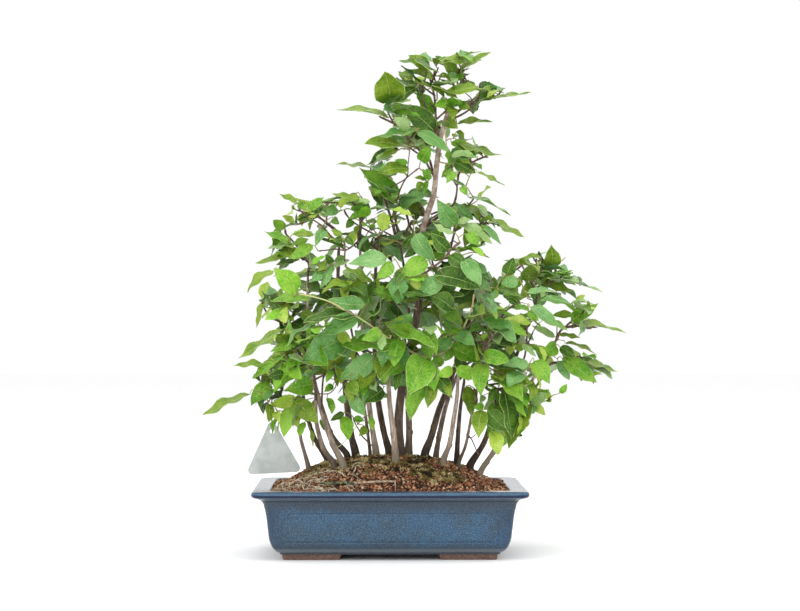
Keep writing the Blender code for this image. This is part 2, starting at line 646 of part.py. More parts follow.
def place_leaf(twig, share, side, length, hang, planes, beads, rng):
    """A leaf at this share of the twig, on its left or right, turned until it fits; None if it never does."""
    point, direction, _ = twig.at(share)
    outward = unit((point - CROWN_HEART) * (1, 1, 0.2) + (0, 0, 1e-4))
    level = unit(np.cross((0, 0, 1), direction) + 1e-3 * outward)
    carried = np.linalg.norm(beads[0] - point, axis=1) > CARRIED_REACH
    beads = beads[0][carried], beads[1][carried]
    for attempt in range(LEAF_TRIES):
        turn = rng.uniform(-LEAF_TURN, LEAF_TURN) * (1 + 0.4 * attempt)
        fall = hang + rng.uniform(-LEAF_FALL_SPREAD, LEAF_FALL_SPREAD) * (1 + 0.2 * attempt)
        heading = direction * 0.6 + level * (side * cos(turn)) + outward * 0.15
        heading[2] += sin(turn) * 0.5
        axis = unit(unit(heading) * (1 - 0.6 * max(fall, 0)) - np.array((0, 0, 1.1 * fall)))
        facing = np.array((0, 0, 0.7)) + outward * (0.5 + 0.6 * max(fall, 0))
        normal = unit(facing + rng.normal(size=3) * LEAF_TILT)
        size = length * rng.uniform(*LEAF_SIZES) * (1 - 0.03 * attempt)
        leaf = Blade(point - axis * LEAF_SUNK, axis, normal, size)
        if inside(planes, leaf.corners()) and not leaf.touches(*beads):
            return leaf
    return None


def side_twigs(leader, length, planes, beads, rng):
    """Side twigs, left and right by turns, that stay in the cell and clear of the limbs."""
    found = []
    count = max(4, int(round(leader.along[-1] * (1 - BARE_START) / LEADER_STEP)) + 1)
    for k in range(count):
        share = BARE_START + (LAST_TWIG - BARE_START) * (k + rng.uniform(0.1, 0.9)) / count
        point, direction, _ = leader.at(share)
        level = unit(np.cross((0, 0, 1), direction) + (1e-4, 0, 0))
        lift = np.cross(direction, level)
        for attempt in range(LEAF_TRIES):
            turn = k * TWIG_TURN + rng.uniform(-0.5, 0.5) * (1 + attempt)
            outwards = level * cos(turn) + lift * 0.6 * sin(turn)
            heading = unit(direction * 0.7 + unit(outwards))
            reach = length * (1.15 - 0.45 * share) * rng.uniform(0.8, 1.1) * (1 - 0.08 * attempt)
            steps = np.linspace(0, 1, 3)[:, None]
            points = point + heading * reach * steps + np.array((0, 0, TWIG_RISE * reach)) * steps**2
            twig = Limb(points, np.linspace(TWIG_RADIUS, 0.8 * TWIG_RADIUS, len(points)))
            along, _ = twig.beads()
            spread = np.linalg.norm(along[:, None] - beads[0][None], axis=2) - beads[1] - TWIG_RADIUS
            if inside(planes, along) and spread.min() > GAP:
                found.append(twig)
                break
    return found


def grow_mass(name, leader, planes, beads):
    """The side twigs and leaves of one mass, leaves kept off each other as well."""
    _, _, _, twig_length, leaf_length, hang = MASSES[name]
    rng = np.random.default_rng(SEED + 200 + list(MASSES).index(name))
    twigs = side_twigs(leader, twig_length, planes, beads, rng)
    beads = joined_beads([beads, leader.beads(), *(twig.beads() for twig in twigs)])
    leaves = []
    bearers = [(leader, LEADER_SPACING)] + [(twig, TWIG_SPACING) for twig in twigs]
    for twig, spacing in bearers:
        count = int(round(twig.along[-1] * (1 - FIRST_LEAF) / spacing)) + 1
        for k, share in enumerate(np.linspace(FIRST_LEAF, LAST_LEAF, count + 1)):
            leaf = place_leaf(twig, share, (-1) ** k, leaf_length, hang, planes, beads, rng)
            if leaf:
                leaves.append(leaf)
                beads = joined_beads([beads, leaf.beads()])
    return twigs, leaves


def main_body(mesh):
    """Keeps the largest of a mesh's bodies: loose scraps go, and so does the inner face of a sealed hollow."""
    shape = bmesh.new()
    shape.from_mesh(mesh)
    bmesh.ops.dissolve_degenerate(shape, dist=WELD, edges=shape.edges)
    bmesh.ops.triangulate(shape, faces=shape.faces)
    left = set(shape.faces)
    bodies = []
    while left:
        body = {left.pop()}
        edge = list(body)
        while edge:
            face = edge.pop()
            for neighbour in (other for rim in face.edges for other in rim.link_faces):
                if neighbour in left:
                    left.remove(neighbour)
                    body.add(neighbour)
                    edge.append(neighbour)
        bodies.append(body)
    largest = max(bodies, key=len)
    spare = [face for body in bodies if body is not largest for face in body]
    bmesh.ops.delete(shape, geom=spare, context="FACES")
    shape.to_mesh(mesh)
    shape.free()
    return mesh


def is_closed(mesh):
    shape = bmesh.new()
    shape.from_mesh(mesh)
    closed = all(edge.is_contiguous for edge in shape.edges) and all(vert.is_manifold for vert in shape.verts)
    shape.free()
    return closed


def fused_mass(name, leader, bits, profile):
    """The union of a mass's leader with its twigs and leaves, thinned out where they join."""
    whole = add(name, tube(name, leader.points, leader.radii, profile), bpy.context.scene.collection)
    boolean(whole, "UNION", bits)
    fused = main_body(evaluated_mesh(whole))
    whole.modifiers.clear()
    whole.data = fused
    thin_joints = whole.modifiers.new("thin_joints", "DECIMATE")
    thin_joints.ratio = JOINT_SHARE
    mesh = evaluated_mesh(whole)
    bpy.data.objects.remove(whole, do_unlink=True)
    return mesh


def make_mass(name, leader, twigs, leaves, profile, collection, look):
    """Fuses a mass into one closed body; one that comes out open goes without one of its bits instead."""
    bits = new_collection(name + "_bits")
    for index, twig in enumerate(twigs):
        add(f"{name}_twig_{index}", tube(f"{name}_twig_{index}", twig.points, twig.radii, profile), bits)
    for index, leaf in enumerate(leaves):
        add(f"{name}_leaf_{index}", leaf.mesh(f"{name}_leaf_{index}"), bits)
    made = list(bits.objects)
    mesh = fused_mass(name, leader, bits, profile)
    for bit in reversed(made):
        if is_closed(mesh):
            break
        bits.objects.unlink(bit)
        mesh = fused_mass(name, leader, bits, profile)
        bits.objects.link(bit)
    for bit in made:
        bpy.data.objects.remove(bit, do_unlink=True)
    bpy.data.collections.remove(bits)
    return add(name, mesh, collection, look)


def tag_outline():
    """The tag's edge and its hole, in X and Z, with the foot of the tag at height 0."""
    slope = atan2(TAG_HEIGHT, TAG_WIDTH / 2)
    corners = ((-TAG_WIDTH / 2, 0.0), (TAG_WIDTH / 2, 0.0), (0.0, TAG_HEIGHT))
    halves = slope / 2, slope / 2, pi / 2 - slope
    edge = []
    for i, (corner, half) in enumerate(zip(corners, halves)):
        before, after = corners[i - 1], corners[(i + 1) % 3]
        inward = unit(unit(np.subtract(before, corner)) + unit(np.subtract(after, corner)))
        centre = np.array(corner) + inward * TAG_CORNER / sin(half)
        middle = atan2(-inward[1], -inward[0])
        spread = pi / 2 - half
        edge += arc(centre, TAG_CORNER, middle - spread, middle + spread, 3)
    hole = arc((0.0, TAG_HEIGHT - TAG_HOLE_DROP), TAG_HOLE_RADIUS, 0, 2 * pi * 9 / 10, 9)
    return edge, hole


def tag_thread(limbs):
    """The thread's closed loop: over the bough above, and through the tag's hole at its upper edge."""
    beads, radii = limbs["bough_far_left"].beads()
    nearest = int(np.abs(beads[:, 0] - TAG_AT[0]).argmin())
    x, y, z = beads[nearest]
    half = radii[nearest] + GAP + THREAD_RADIUS + THREAD_SLACK
    crown = z + radii[nearest] * sqrt(2) + THREAD_RADIUS
    foot = TAG_AT[1] + TAG_HEIGHT - TAG_HOLE_DROP + TAG_HOLE_RADIUS
    loop = [(x, y + across, crown + up) for across, up in arc((0, 0), half, 0, pi, 4)]
    loop += [(x, y + across, foot + half + up) for across, up in arc((0, 0), half, pi, 2 * pi, 4)]
    return np.array(loop), y


def make_tag(collection, look, limbs):
    loop, y = tag_thread(limbs)
    mesh = flat_plate("hang_tag", tag_outline(), TAG_THICKNESS)
    hole = Vector((0, TAG_HEIGHT - TAG_HOLE_DROP, 0))
    askew = Matrix.Translation(hole) @ Matrix.Rotation(TAG_TILT, 4, "Z") @ Matrix.Translation(-hole)
    mesh.transform(Matrix.Translation((TAG_AT[0], y, TAG_AT[1])) @ Matrix.Rotation(pi / 2, 4, "X") @ askew)
    tag = add("hang_tag", mesh, collection, look)
    bits = new_collection("thread_bits")
    thread = tube("thread", loop, np.full(len(loop), THREAD_RADIUS), closed=True)
    add("thread", thread, bits)
    boolean(tag, "UNION", bits, "MANIFOLD")
    fused = main_body(evaluated_mesh(tag))
    for thing in [*bits.objects, tag]:
        bpy.data.objects.remove(thing, do_unlink=True)
    bpy.data.collections.remove(bits)
    return add("hang_tag", fused, collection, look)


def tag_beads(limbs):
    """Beads over the tag and along its thread, for the leaves to keep clear of."""
    loop, y = tag_thread(limbs)
    spots = []
    for height in np.arange(0.0, TAG_HEIGHT, TAG_BEAD_STEP):
        half = TAG_WIDTH / 2 * (1 - height / TAG_HEIGHT)
        for across in np.arange(-half, half + GAP, TAG_BEAD_STEP):
            spots.append((TAG_AT[0] + across, y, TAG_AT[1] + height))
    for height in np.arange(loop[:, 2].min(), loop[:, 2].max(), TAG_BEAD_STEP / 2):
        spots.append((loop[0, 0], y, height))
    return np.array(spots), np.full(len(spots), TAG_BEAD)


def joined_beads(groups):
    points, radii = zip(*groups)
    return np.concatenate(points), np.concatenate(radii)


def triangle_profile(collection):
    """The outline of a three-sided twig of radius 1."""
    curve = bpy.data.curves.new("twig_outline", "CURVE")
    curve.dimensions = "2D"
    spline = curve.splines.new("POLY")
    spline.points.add(2)
    spline.use_cyclic_u = True
    for bead, (x, y) in zip(spline.points, arc((0, 0), 1.0, 0, 4 * pi / 3, 2)):
        bead.co = (x, y, 0.0, 1.0)
    thing = bpy.data.objects.new("twig_outline", curve)
    collection.objects.link(thing)
    return make_cutter(thing)


def main():
    clear_scene()
    parts = new_collection("stewartia_bonsai")
    cutters = new_collection("cutters")
    glaze = material("slate_blue_glaze", (0.035, 0.075, 0.145), 0.25)
    earth = material("akadama_soil", (0.120, 0.062, 0.038), 0.95)
    bark = material("stewartia_bark", (0.235, 0.165, 0.130), 0.85)
    leafage = material("stewartia_leaf", (0.105, 0.240, 0.045), 0.50)
    silver = material("silver_tag", (0.620, 0.640, 0.640), 0.35, 0.6)

    limbs = grow_limbs()
    feet = {name: (limb.points[0], limb.radii[0]) for name, limb in limbs.items() if name not in BOUGHS}
    make_pot(parts, cutters, glaze)
    make_soil(parts, cutters, earth, feet)
    for name, limb in limbs.items():
        add(name, tube(name, limb.points, limb.radii), parts, bark)
    make_tag(parts, silver, limbs)

    leaders = {name: leader_of(name, limbs) for name in MASSES}
    spaces = cells(leaders)
    profile = triangle_profile(cutters)
    hung = tag_beads(limbs)
    for name, leader in leaders.items():
        others = [*limbs.values(), *(other for key, other in leaders.items() if key != name)]
        beads = joined_beads([hung, *(limb.beads() for limb in others)])
        twigs, leaves = grow_mass(name, leader, spaces[name], beads)
        make_mass(name, leader, twigs, leaves, profile, parts, leafage)

    # The whole is moved so that its box stands centred on the origin
    bpy.context.view_layer.update()
    corners = np.array(
        [thing.matrix_world @ Vector(corner) for thing in parts.objects for corner in thing.bound_box]
    )
    middle = (corners.min(axis=0) + corners.max(axis=0)) / 2
    for thing in [*parts.objects, *cutters.objects]:
        thing.location.x -= middle[0]
        thing.location.y -= middle[1]


main()
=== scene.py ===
"""The looks of a stewartia bonsai: a clump of twenty slim stems on mounded soil in a glazed oblong pot.

Lengths are in metres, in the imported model's frame: X to the right, Y to the back, Z up.
"""

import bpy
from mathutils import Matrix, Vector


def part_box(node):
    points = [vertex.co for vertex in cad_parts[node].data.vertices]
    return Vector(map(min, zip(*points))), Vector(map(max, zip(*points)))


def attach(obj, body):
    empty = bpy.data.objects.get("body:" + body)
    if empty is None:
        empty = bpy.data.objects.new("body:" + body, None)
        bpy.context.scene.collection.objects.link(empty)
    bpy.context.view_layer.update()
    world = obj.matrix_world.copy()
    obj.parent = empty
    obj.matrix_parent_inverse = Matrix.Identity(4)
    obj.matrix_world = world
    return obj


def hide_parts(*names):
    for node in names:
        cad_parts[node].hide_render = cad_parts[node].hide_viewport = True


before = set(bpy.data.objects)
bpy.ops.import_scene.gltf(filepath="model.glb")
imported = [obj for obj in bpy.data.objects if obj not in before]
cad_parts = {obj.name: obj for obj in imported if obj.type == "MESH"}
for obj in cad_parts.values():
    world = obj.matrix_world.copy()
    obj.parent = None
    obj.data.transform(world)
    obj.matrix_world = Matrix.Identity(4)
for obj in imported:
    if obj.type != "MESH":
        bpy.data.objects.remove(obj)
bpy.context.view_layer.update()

from copy import copy
from math import atan2, cos, pi, radians, sin, sqrt

import bpy
import numpy as np
from mathutils import Matrix, Vector

# The pot's body is thrown stoneware: a bellied wall with a sunk panel on each side, under a broad flat
# rim that overhangs it. It is dipped in a mottled slate-blue glaze. The dark line under the rim is partly
# that glaze pooling and partly painted shade.
POT_WIDTH, POT_DEPTH, POT_HEIGHT = 0.236, 0.172, 0.060
RIM_WIDTH = 0.0155
RIM_CORNER = 0.009
WALL_CORNER_LOSS = 0.35
CAVITY_FLOOR = 0.0105
CAVITY_DRAFT = 0.0060
CAVITY_CORNER = 0.0060
UNDERSIDE = 0.0050
# How far the wall stands in from the rim's outer edge, and the height, up to the groove under the rim
BELLY = (
    (0.0236, 0.0050),
    (0.0234, 0.0062),
    (0.0222, 0.0066),
    (0.0204, 0.0078),
    (0.0184, 0.0100),
    (0.0172, 0.0120),
    (0.0156, 0.0160),
    (0.0146, 0.0200),
    (0.0139, 0.0260),
    (0.0134, 0.0300),
    (0.0126, 0.0370),
    (0.0118, 0.0420),
    (0.0107, 0.0466),
)
LIP = (
    (0.0107, 0.0466),
    (0.0104, 0.0484),
    (0.0095, 0.0501),
    (0.0082, 0.0517),
    (0.0062, 0.0528),
    (0.0038, 0.0536),
    (0.0018, 0.0543),
    (0.0006, 0.0552),
    (0.0000, 0.0568),
    (0.0004, 0.0586),
    (0.0014, 0.0596),
    (0.0036, 0.0600),
)
RIM_TOP = (
    (0.0036, 0.0600),
    (0.0080, 0.0598),
    (0.0130, 0.0600),
    (0.0146, 0.0598),
    (0.0154, 0.0590),
    (0.0158, 0.0575),
    (0.0165, 0.0500),
)
PANEL_LOW, PANEL_HIGH = 0.0153, 0.0413
PANEL_END = 0.0255
PANEL_NOTCH = 0.0060
PANEL_SINK = 0.0009
PANEL_EDGE = 0.0008
PANEL_GROOVE = 0.0002
DRAIN_RADIUS, DRAIN_X = 0.007, 0.055

pot_low, pot_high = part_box("pot")
CENTRE = np.array(((pot_low.x + pot_high.x) / 2, (pot_low.y + pot_high.y) / 2, 0.0))


def colour(red, green, blue):
    """Scene-linear colour from display values of 0 to 255."""
    shares = np.array((red, green, blue)) / 255
    return tuple(np.where(shares <= 0.04045, shares / 12.92, ((shares + 0.055) / 1.055) ** 2.4))


class Wire:
    """One socket of a material's nodes. Sums and products of wires add their Math nodes."""

    def __init__(self, tree, socket):
        self.tree, self.socket = tree, socket

    def node(self, kind, settings=None, inputs=None, output=0):
        """Any other node: its settings and ramp stops first, then the values or wires of its sockets."""
        made = self.tree.nodes.new(kind)
        for key, value in (settings or {}).items():
            if key == "stops":
                ramp = made.color_ramp.elements
                while len(ramp) < len(value):
                    ramp.new(0.5)
                for stop, (place, shade) in zip(ramp, value):
                    stop.position = place
                    stop.color = (*shade, 1.0)
            else:
                setattr(made, key, value)
        for key, value in (inputs or {}).items():
            if isinstance(value, Wire):
                self.tree.links.new(value.socket, made.inputs[key])
            else:
                made.inputs[key].default_value = value
        return Wire(self.tree, made.outputs[output])

    def maths(self, operation, *others):
        """A Math node of this wire and others, in that order."""
        return self.node("ShaderNodeMath", {"operation": operation}, dict(enumerate((self, *others))))

    def __add__(self, other):
        return self.maths("ADD", other)

    def __sub__(self, other):
        return self.maths("SUBTRACT", other)

    def __rsub__(self, other):
        return self * -1.0 + other

    def __mul__(self, other):
        return self.maths("MULTIPLY", other)

    __radd__, __rmul__ = __add__, __mul__

    def clear_of(self, low, high):
        """0 below low, 1 above high, and a smooth step between."""
        ends = {"From Min": low, "From Max": high, "Value": self}
        return self.node("ShaderNodeMapRange", {"interpolation_type": "SMOOTHSTEP"}, ends)

    def noise(self, scale, detail=3.0, roughness=0.5, distortion=0.0):
        """Cloudy noise over this position, from 0 to 1."""
        sockets = {"Scale": scale, "Detail": detail, "Roughness": roughness, "Distortion": distortion}
        return self.node("ShaderNodeTexNoise", None, {"Vector": self, **sockets})

    def part(self, axis):
        """The X, Y or Z of this position, by the axis's number."""
        return self.node("ShaderNodeSeparateXYZ", None, {0: self}, axis)

    def blend(self, start, end):
        """The colour between two, by this wire as the share."""
        ends = {0: self}
        for key, value in ((6, start), (7, end)):
            ends[key] = value if isinstance(value, Wire) else (*value, 1.0)
        return self.node("ShaderNodeMix", {"data_type": "RGBA"}, ends, 2)


class Finish:
    """A named material: its shader, with constants set on it, and a wire of the object's own coordinates."""

    def __init__(self, name, roughness, **constants):
        self.material = bpy.data.materials.new(name)
        self.material.use_nodes = True
        self.tree = self.material.node_tree
        self.shader = self.tree.nodes["Principled BSDF"]
        self.shader.inputs["Roughness"].default_value = roughness
        for key, value in constants.items():
            self.shader.inputs[key.replace("_", " ")].default_value = value
        coordinates = self.tree.nodes.new("ShaderNodeTexCoord")
        self.place = Wire(self.tree, coordinates.outputs["Object"])

    def paint(self, base):
        socket = self.shader.inputs["Base Color"]
        if isinstance(base, Wire):
            self.tree.links.new(base.socket, socket)
        else:
            socket.default_value = (*base, 1.0)
        return self

    def feed(self, name, wire):
        self.tree.links.new(wire.socket, self.shader.inputs[name])
        return self

    def relief(self, height, distance):
        """Bump from a height wire, this deep."""
        bump = height.node("ShaderNodeBump", None, {"Height": height, "Distance": distance, "Strength": 1.0})
        return self.feed("Normal", bump)

    def mottle(self, scale, dark, light):
        """Paint of two display colours in cloudy grains, this many to the metre."""
        return self.paint(self.place.noise(scale).clear_of(0.36, 0.64).blend(colour(*dark), colour(*light)))


def mesh_of(name, points, *faces):
    """A mesh from an array of points and arrays of faces, one array for each number of corners."""
    mesh = bpy.data.meshes.new(name)
    sizes = np.concatenate([np.full(len(group), group.shape[1]) for group in faces])
    corners = np.concatenate([group.ravel() for group in faces]).astype(np.int32)
    starts = np.concatenate(([0], np.cumsum(sizes)[:-1])).astype(np.int32)
    mesh.vertices.add(len(points))
    mesh.vertices.foreach_set("co", np.asarray(points, np.float32).ravel())
    mesh.loops.add(len(corners))
    mesh.loops.foreach_set("vertex_index", corners)
    mesh.polygons.add(len(sizes))
    mesh.polygons.foreach_set("loop_start", starts)
    mesh.update(calc_edges=True)
    mesh.validate()
    return mesh


def show(name, mesh, look, slot, *nodes, sharp=35):
    """The finished piece: smooth but for edges over the sharp angle, riding on the frame for its nodes."""
    thing = bpy.data.objects.new(name, mesh)
    bpy.context.scene.collection.objects.link(thing)
    mesh.materials.clear()
    mesh.materials.append(look.material)
    mesh.shade_smooth()
    mesh.set_sharp_from_angle(angle=radians(sharp))
    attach(thing, "root")
    if nodes:
        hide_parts(*nodes)
    return thing


def smooth_route(points, step):
    """Points about one step apart on a Catmull-Rom curve through the route's own."""
    route = np.array(points)
    ends = np.vstack([2 * route[0] - route[1], route, 2 * route[-1] - route[-2]])
    out = [route[0]]
    for a, b, c, d in zip(ends, ends[1:], ends[2:], ends[3:]):
        pieces = max(1, int(round(np.linalg.norm(c - b) / step)))
        for i in range(1, pieces + 1):
            t = i / pieces
            curve = (2 * a - 5 * b + 4 * c - d) * t**2 + (3 * b - a - 3 * c + d) * t**3
            out.append(0.5 * (2 * b + (c - a) * t + curve))
    return np.array(out)


def lattice(rows, columns, wrapped=True):
    """Quads over a grid of points, row by row, its last column joined to its first where it is wrapped."""
    across = np.arange(columns if wrapped else columns - 1)
    after = (across + 1) % columns
    lower = np.arange(rows - 1)[:, None] * columns
    quads = (lower + across, lower + after, lower + columns + after, lower + columns + across)
    return np.stack(quads, axis=-1).reshape(-1, 4)


def oblong_columns():
    """For each column round an oblong, its share of each half side and its outward direction.

    The columns run anticlockwise from the right-hand side, closer together at the panels' ends.
    """
    long_end = np.arange(0.850, 0.997, 0.0046)
    short_end = np.arange(0.770, 0.985, 0.0066)
    found = []
    for quarter in range(4):
        end = long_end if quarter % 2 else short_end
        middle = np.linspace(-end[0], end[0], 15)[1:-1]
        straight = np.concatenate((-end[::-1], middle, end))
        turn = quarter * pi / 2
        out, along = np.array((cos(turn), sin(turn))), np.array((-sin(turn), cos(turn)))
        for share in straight:
            found.append((*(out + along * share), *out))
        for angle in turn + np.linspace(0, pi / 2, 12):
            corner = out + along
            found.append((*corner, cos(angle), sin(angle)))
    return np.array(found)


def oblong_rings(columns, insets, corners):
    """Rows of points round the pot at these insets from the rim's outer edge, with these corner radii."""
    half_x = (POT_WIDTH / 2 - insets - corners)[:, None]
    half_y = (POT_DEPTH / 2 - insets - corners)[:, None]
    radius = corners[:, None]
    x = columns[:, 0] * half_x + columns[:, 2] * radius
    y = columns[:, 1] * half_y + columns[:, 3] * radius
    return x, y


def panel_depth(along, height, half_length):
    """How deep the panel is here: sunk within an oblong with hollowed corners, deepest just inside its edge."""
    from_end = half_length - np.abs(along)
    from_side = np.minimum(height - PANEL_LOW, PANEL_HIGH - height)
    from_notch = np.hypot(np.maximum(from_end, 0), np.maximum(from_side, 0)) - PANEL_NOTCH
    inward = np.minimum(np.minimum(from_end, from_side), from_notch)
    share = np.clip(inward / PANEL_EDGE, 0, 1)
    groove = PANEL_GROOVE * np.exp(-(((inward / PANEL_EDGE - 1.1) / 0.6) ** 2))
    return PANEL_SINK * share * share * (3 - 2 * share) + groove


def pot_mesh():
    """Rings up the belly, over the lip and rim and down inside to the floor, with the panels pressed in."""
    fine = 0.0004
    belly = smooth_route(BELLY, 0.0005)
    heights = np.concatenate(
        [
            np.arange(UNDERSIDE, 0.0140, 0.0006),
            np.arange(0.0140, 0.0226, fine),
            np.arange(0.0226, 0.0338, 0.0014),
            np.arange(0.0338, 0.0426, fine),
            np.linspace(0.0426, BELLY[-1][1], 8),
        ]
    )
    wall = np.stack((np.interp(heights, belly[:, 1], belly[:, 0]), heights), axis=1)
    lip = smooth_route(LIP, 0.0006)[1:]
    top = smooth_route(RIM_TOP, 0.0010)[1:]
    floor = np.array(((RIM_WIDTH + CAVITY_DRAFT, CAVITY_FLOOR),))
    rows = np.vstack((wall, lip, top, floor))
    corners = RIM_CORNER - WALL_CORNER_LOSS * np.minimum(rows[:, 0], 0.010)
    corners[len(wall) + len(lip) + 2:] = CAVITY_CORNER
    columns = oblong_columns()
    x, y = oblong_rings(columns, rows[:, 0], corners)
    z = np.broadcast_to(rows[:, 1:2], x.shape)
    long_side, short_side = np.abs(columns[:, 3]) == 1, np.abs(columns[:, 2]) == 1
    on_wall = (np.arange(len(rows)) < len(wall))[:, None]
    front = panel_depth(x, z, POT_WIDTH / 2 - PANEL_END) * (np.abs(np.round(columns[:, 3], 6)) == 1)
    flank = panel_depth(y, z, POT_DEPTH / 2 - PANEL_END) * (np.abs(np.round(columns[:, 2], 6)) == 1)
    sink = (front + flank) * on_wall
    x, y = x - columns[:, 2] * sink, y - columns[:, 3] * sink
    points = np.stack((x, y, z), axis=-1).reshape(-1, 3) + CENTRE
    count = len(columns)
    first, last = np.arange(count)[::-1], np.arange(count) + (len(rows) - 1) * count
    return mesh_of("pot_body", points, lattice(len(rows), count), first[None], last[None])


def drilled(mesh, centres, radius, depth):
    """The mesh with an upright hole through it at each centre."""
    body = bpy.data.objects.new("body", mesh)
    bpy.context.scene.collection.objects.link(body)
    drills = []
    turns = np.linspace(0, 2 * pi, 33)[:-1]
    for centre in centres:
        ring = np.stack((np.cos(turns) * radius, np.sin(turns) * radius, np.zeros(32)), axis=1) + centre
        points = np.vstack((ring - (0, 0, depth), ring + (0, 0, depth)))
        caps = np.stack((np.arange(32)[::-1], np.arange(32) + 32))
        drill = bpy.data.objects.new("drill", mesh_of("drill", points, lattice(2, 32), caps))
        bpy.context.scene.collection.objects.link(drill)
        step = body.modifiers.new("drain", "BOOLEAN")
        step.operation, step.solver, step.object = "DIFFERENCE", "EXACT", drill
        drills.append(drill)
    cut = bpy.data.meshes.new_from_object(body.evaluated_get(bpy.context.evaluated_depsgraph_get()))
    for thing in (body, *drills):
        bpy.data.objects.remove(thing)
    return cut


glaze = Finish("slate_blue_glaze", 0.26, Coat_Roughness=0.07, Specular_IOR_Level=0.30)
cloud = glaze.place.noise(30.0, 4.0, 0.6)
fleck = glaze.place.noise(1500.0, 3.0, 0.62)
level = glaze.place.part(2)
grained = fleck.clear_of(0.38, 0.66)
plain_tone = grained.blend(colour(42, 54, 68), colour(64, 78, 92))
drifting = level + (glaze.place.noise(45.0) - 0.5) * 0.008
washed = drifting.clear_of(PANEL_LOW - 0.006, PANEL_LOW + 0.003) * (1 - drifting.clear_of(PANEL_HIGH - 0.003, PANEL_HIGH + 0.006))
wash_tone = fleck.clear_of(0.44, 0.60).blend(colour(38, 56, 74), colour(70, 98, 118))
blued = (cloud.clear_of(0.44, 0.58) * 0.8).blend(wash_tone, fleck.clear_of(0.44, 0.60).blend(colour(38, 64, 92), colour(70, 106, 134)))
endwise = (glaze.place.part(0) - float(CENTRE[0])).maths("ABSOLUTE")
shaded = ((endwise.clear_of(0.084, 0.104)) * 0.55).blend(blued, colour(30, 46, 70))
walled = washed.blend(plain_tone, shaded)
# A dark line where the cove meets the wall: partly glaze pooling, partly painted shade.
pooled_glaze_and_shade = level.clear_of(0.0503, 0.0509) * (1 - level.clear_of(0.0516, 0.0524))
coved = (pooled_glaze_and_shade * 0.7).blend(walled, colour(34, 40, 46))
# A paler grey band on the lip's underside: a painted reflection of the pale floor.
under_lip_floor_reflection = level.clear_of(0.0520, 0.0528) * (1 - level.clear_of(0.0546, 0.0550))
with_lip_reflection = (under_lip_floor_reflection * 0.8).blend(coved, colour(92, 104, 114))
wavering = level + (glaze.place.noise(120.0) - 0.5) * 0.0012
# The lip's upper half is painted lighter as a painted highlight, with a darker navy line at its top edge; its lower
# half is near-black navy as painted shade.
upper_lip_highlight = grained.blend(colour(28, 62, 92), colour(62, 104, 132))
upper_lip_highlight = (level.clear_of(0.0586, 0.0592) * 0.8).blend(upper_lip_highlight, colour(18, 38, 62))
lip_highlight_and_shade = wavering.clear_of(0.0566, 0.0576).blend(colour(6, 24, 56), upper_lip_highlight)
on_lip = level.clear_of(0.0546, 0.0550)
rimmed = (on_lip * 0.96).blend(with_lip_reflection, lip_highlight_and_shade)
ridge = level.clear_of(0.0062, 0.0072) * (1 - level.clear_of(0.0088, 0.0112))
ridged = (ridge * 0.6).blend(rimmed, colour(104, 112, 118))
foot_band = 1 - level.clear_of(0.0054, 0.0062)
glaze.paint((foot_band * 0.7).blend(ridged, colour(62, 62, 62)))
glaze.feed("Roughness", fleck.clear_of(0.4, 0.7) * 0.14 + 0.16)
glaze.feed("Coat Weight", level.clear_of(0.0570, 0.0580) * 0.3 + 0.05)
glaze.relief(cloud * 1.4 + fleck * 0.25, 0.0005)
pot_holes = [CENTRE + (side * DRAIN_X, 0, CAVITY_FLOOR / 2) for side in (-1, 1)]
show("pot_body", drilled(pot_mesh(), pot_holes, DRAIN_RADIUS, 0.008), glaze, "glazed_pot", "pot", sharp=50)

# The pot's four feet are bracket-shaped, one under each corner. The glaze was wiped off them before
# firing, so they are bare brown clay, slightly gritty, and drawn in a little towards the floor.
FOOT_START, FOOT_SIDE_START = 0.041, 0.024
FOOT_INSET = 0.0019
FOOT_BAND = 0.012
FOOT_CORNER = 0.004
FOOT_TOP = 0.0058
FOOT_LEVELS = ((0.0, 0.92), (0.0006, 0.935), (FOOT_TOP, 1.0))


def feet_mesh():
    """Each foot is a short loft of an L-shaped outline, smaller at the floor and bevelled there."""
    end_x = POT_WIDTH / 2 - BELLY[0][0] - FOOT_INSET
    end_y = POT_DEPTH / 2 - BELLY[0][0] - FOOT_INSET
    turns = np.linspace(pi / 2, 0, 5)
    bend_x = end_x - FOOT_CORNER + FOOT_CORNER * np.cos(turns)
    bend_y = end_y - FOOT_CORNER + FOOT_CORNER * np.sin(turns)
    outer = [(FOOT_START, end_y), *zip(bend_x, bend_y), (end_x, FOOT_SIDE_START)]
    inner = [
        (end_x - FOOT_BAND, FOOT_SIDE_START),
        (end_x - FOOT_BAND, end_y - FOOT_BAND),
        (FOOT_START, end_y - FOOT_BAND),
    ]
    outline = np.array(outer + inner)
    middle = outline.mean(axis=0)
    points, quads, caps = [], [], []
    count = len(outline)
    for sign_x, sign_y in ((1, 1), (-1, 1), (-1, -1), (1, -1)):
        start = len(points) * count * len(FOOT_LEVELS)
        rings = []
        for height, size in FOOT_LEVELS:
            flat = middle + (outline - middle) * size
            rings.append(np.column_stack((flat * (sign_x, sign_y), np.full(count, height))))
        order = slice(None) if sign_x * sign_y < 0 else slice(None, None, -1)
        points.append(np.vstack([ring[order] for ring in rings]))
        quads.append(lattice(len(FOOT_LEVELS), count) + start)
        caps.append(np.arange(count)[::-1] + start)
        caps.append(np.arange(count) + start + count * (len(FOOT_LEVELS) - 1))
    return mesh_of("pot_feet", np.vstack(points) + CENTRE, np.vstack(quads), np.stack(caps))


clay = Finish("bare_brown_clay", 0.85)
grit = clay.place.noise(900.0, 3.0, 0.6)
clay.paint(grit.clear_of(0.35, 0.7).blend(colour(84, 62, 54), colour(126, 100, 88)))
clay.relief(grit, 0.0003)
show("pot_feet", feet_mesh(), clay, "glazed_pot", sharp=40)

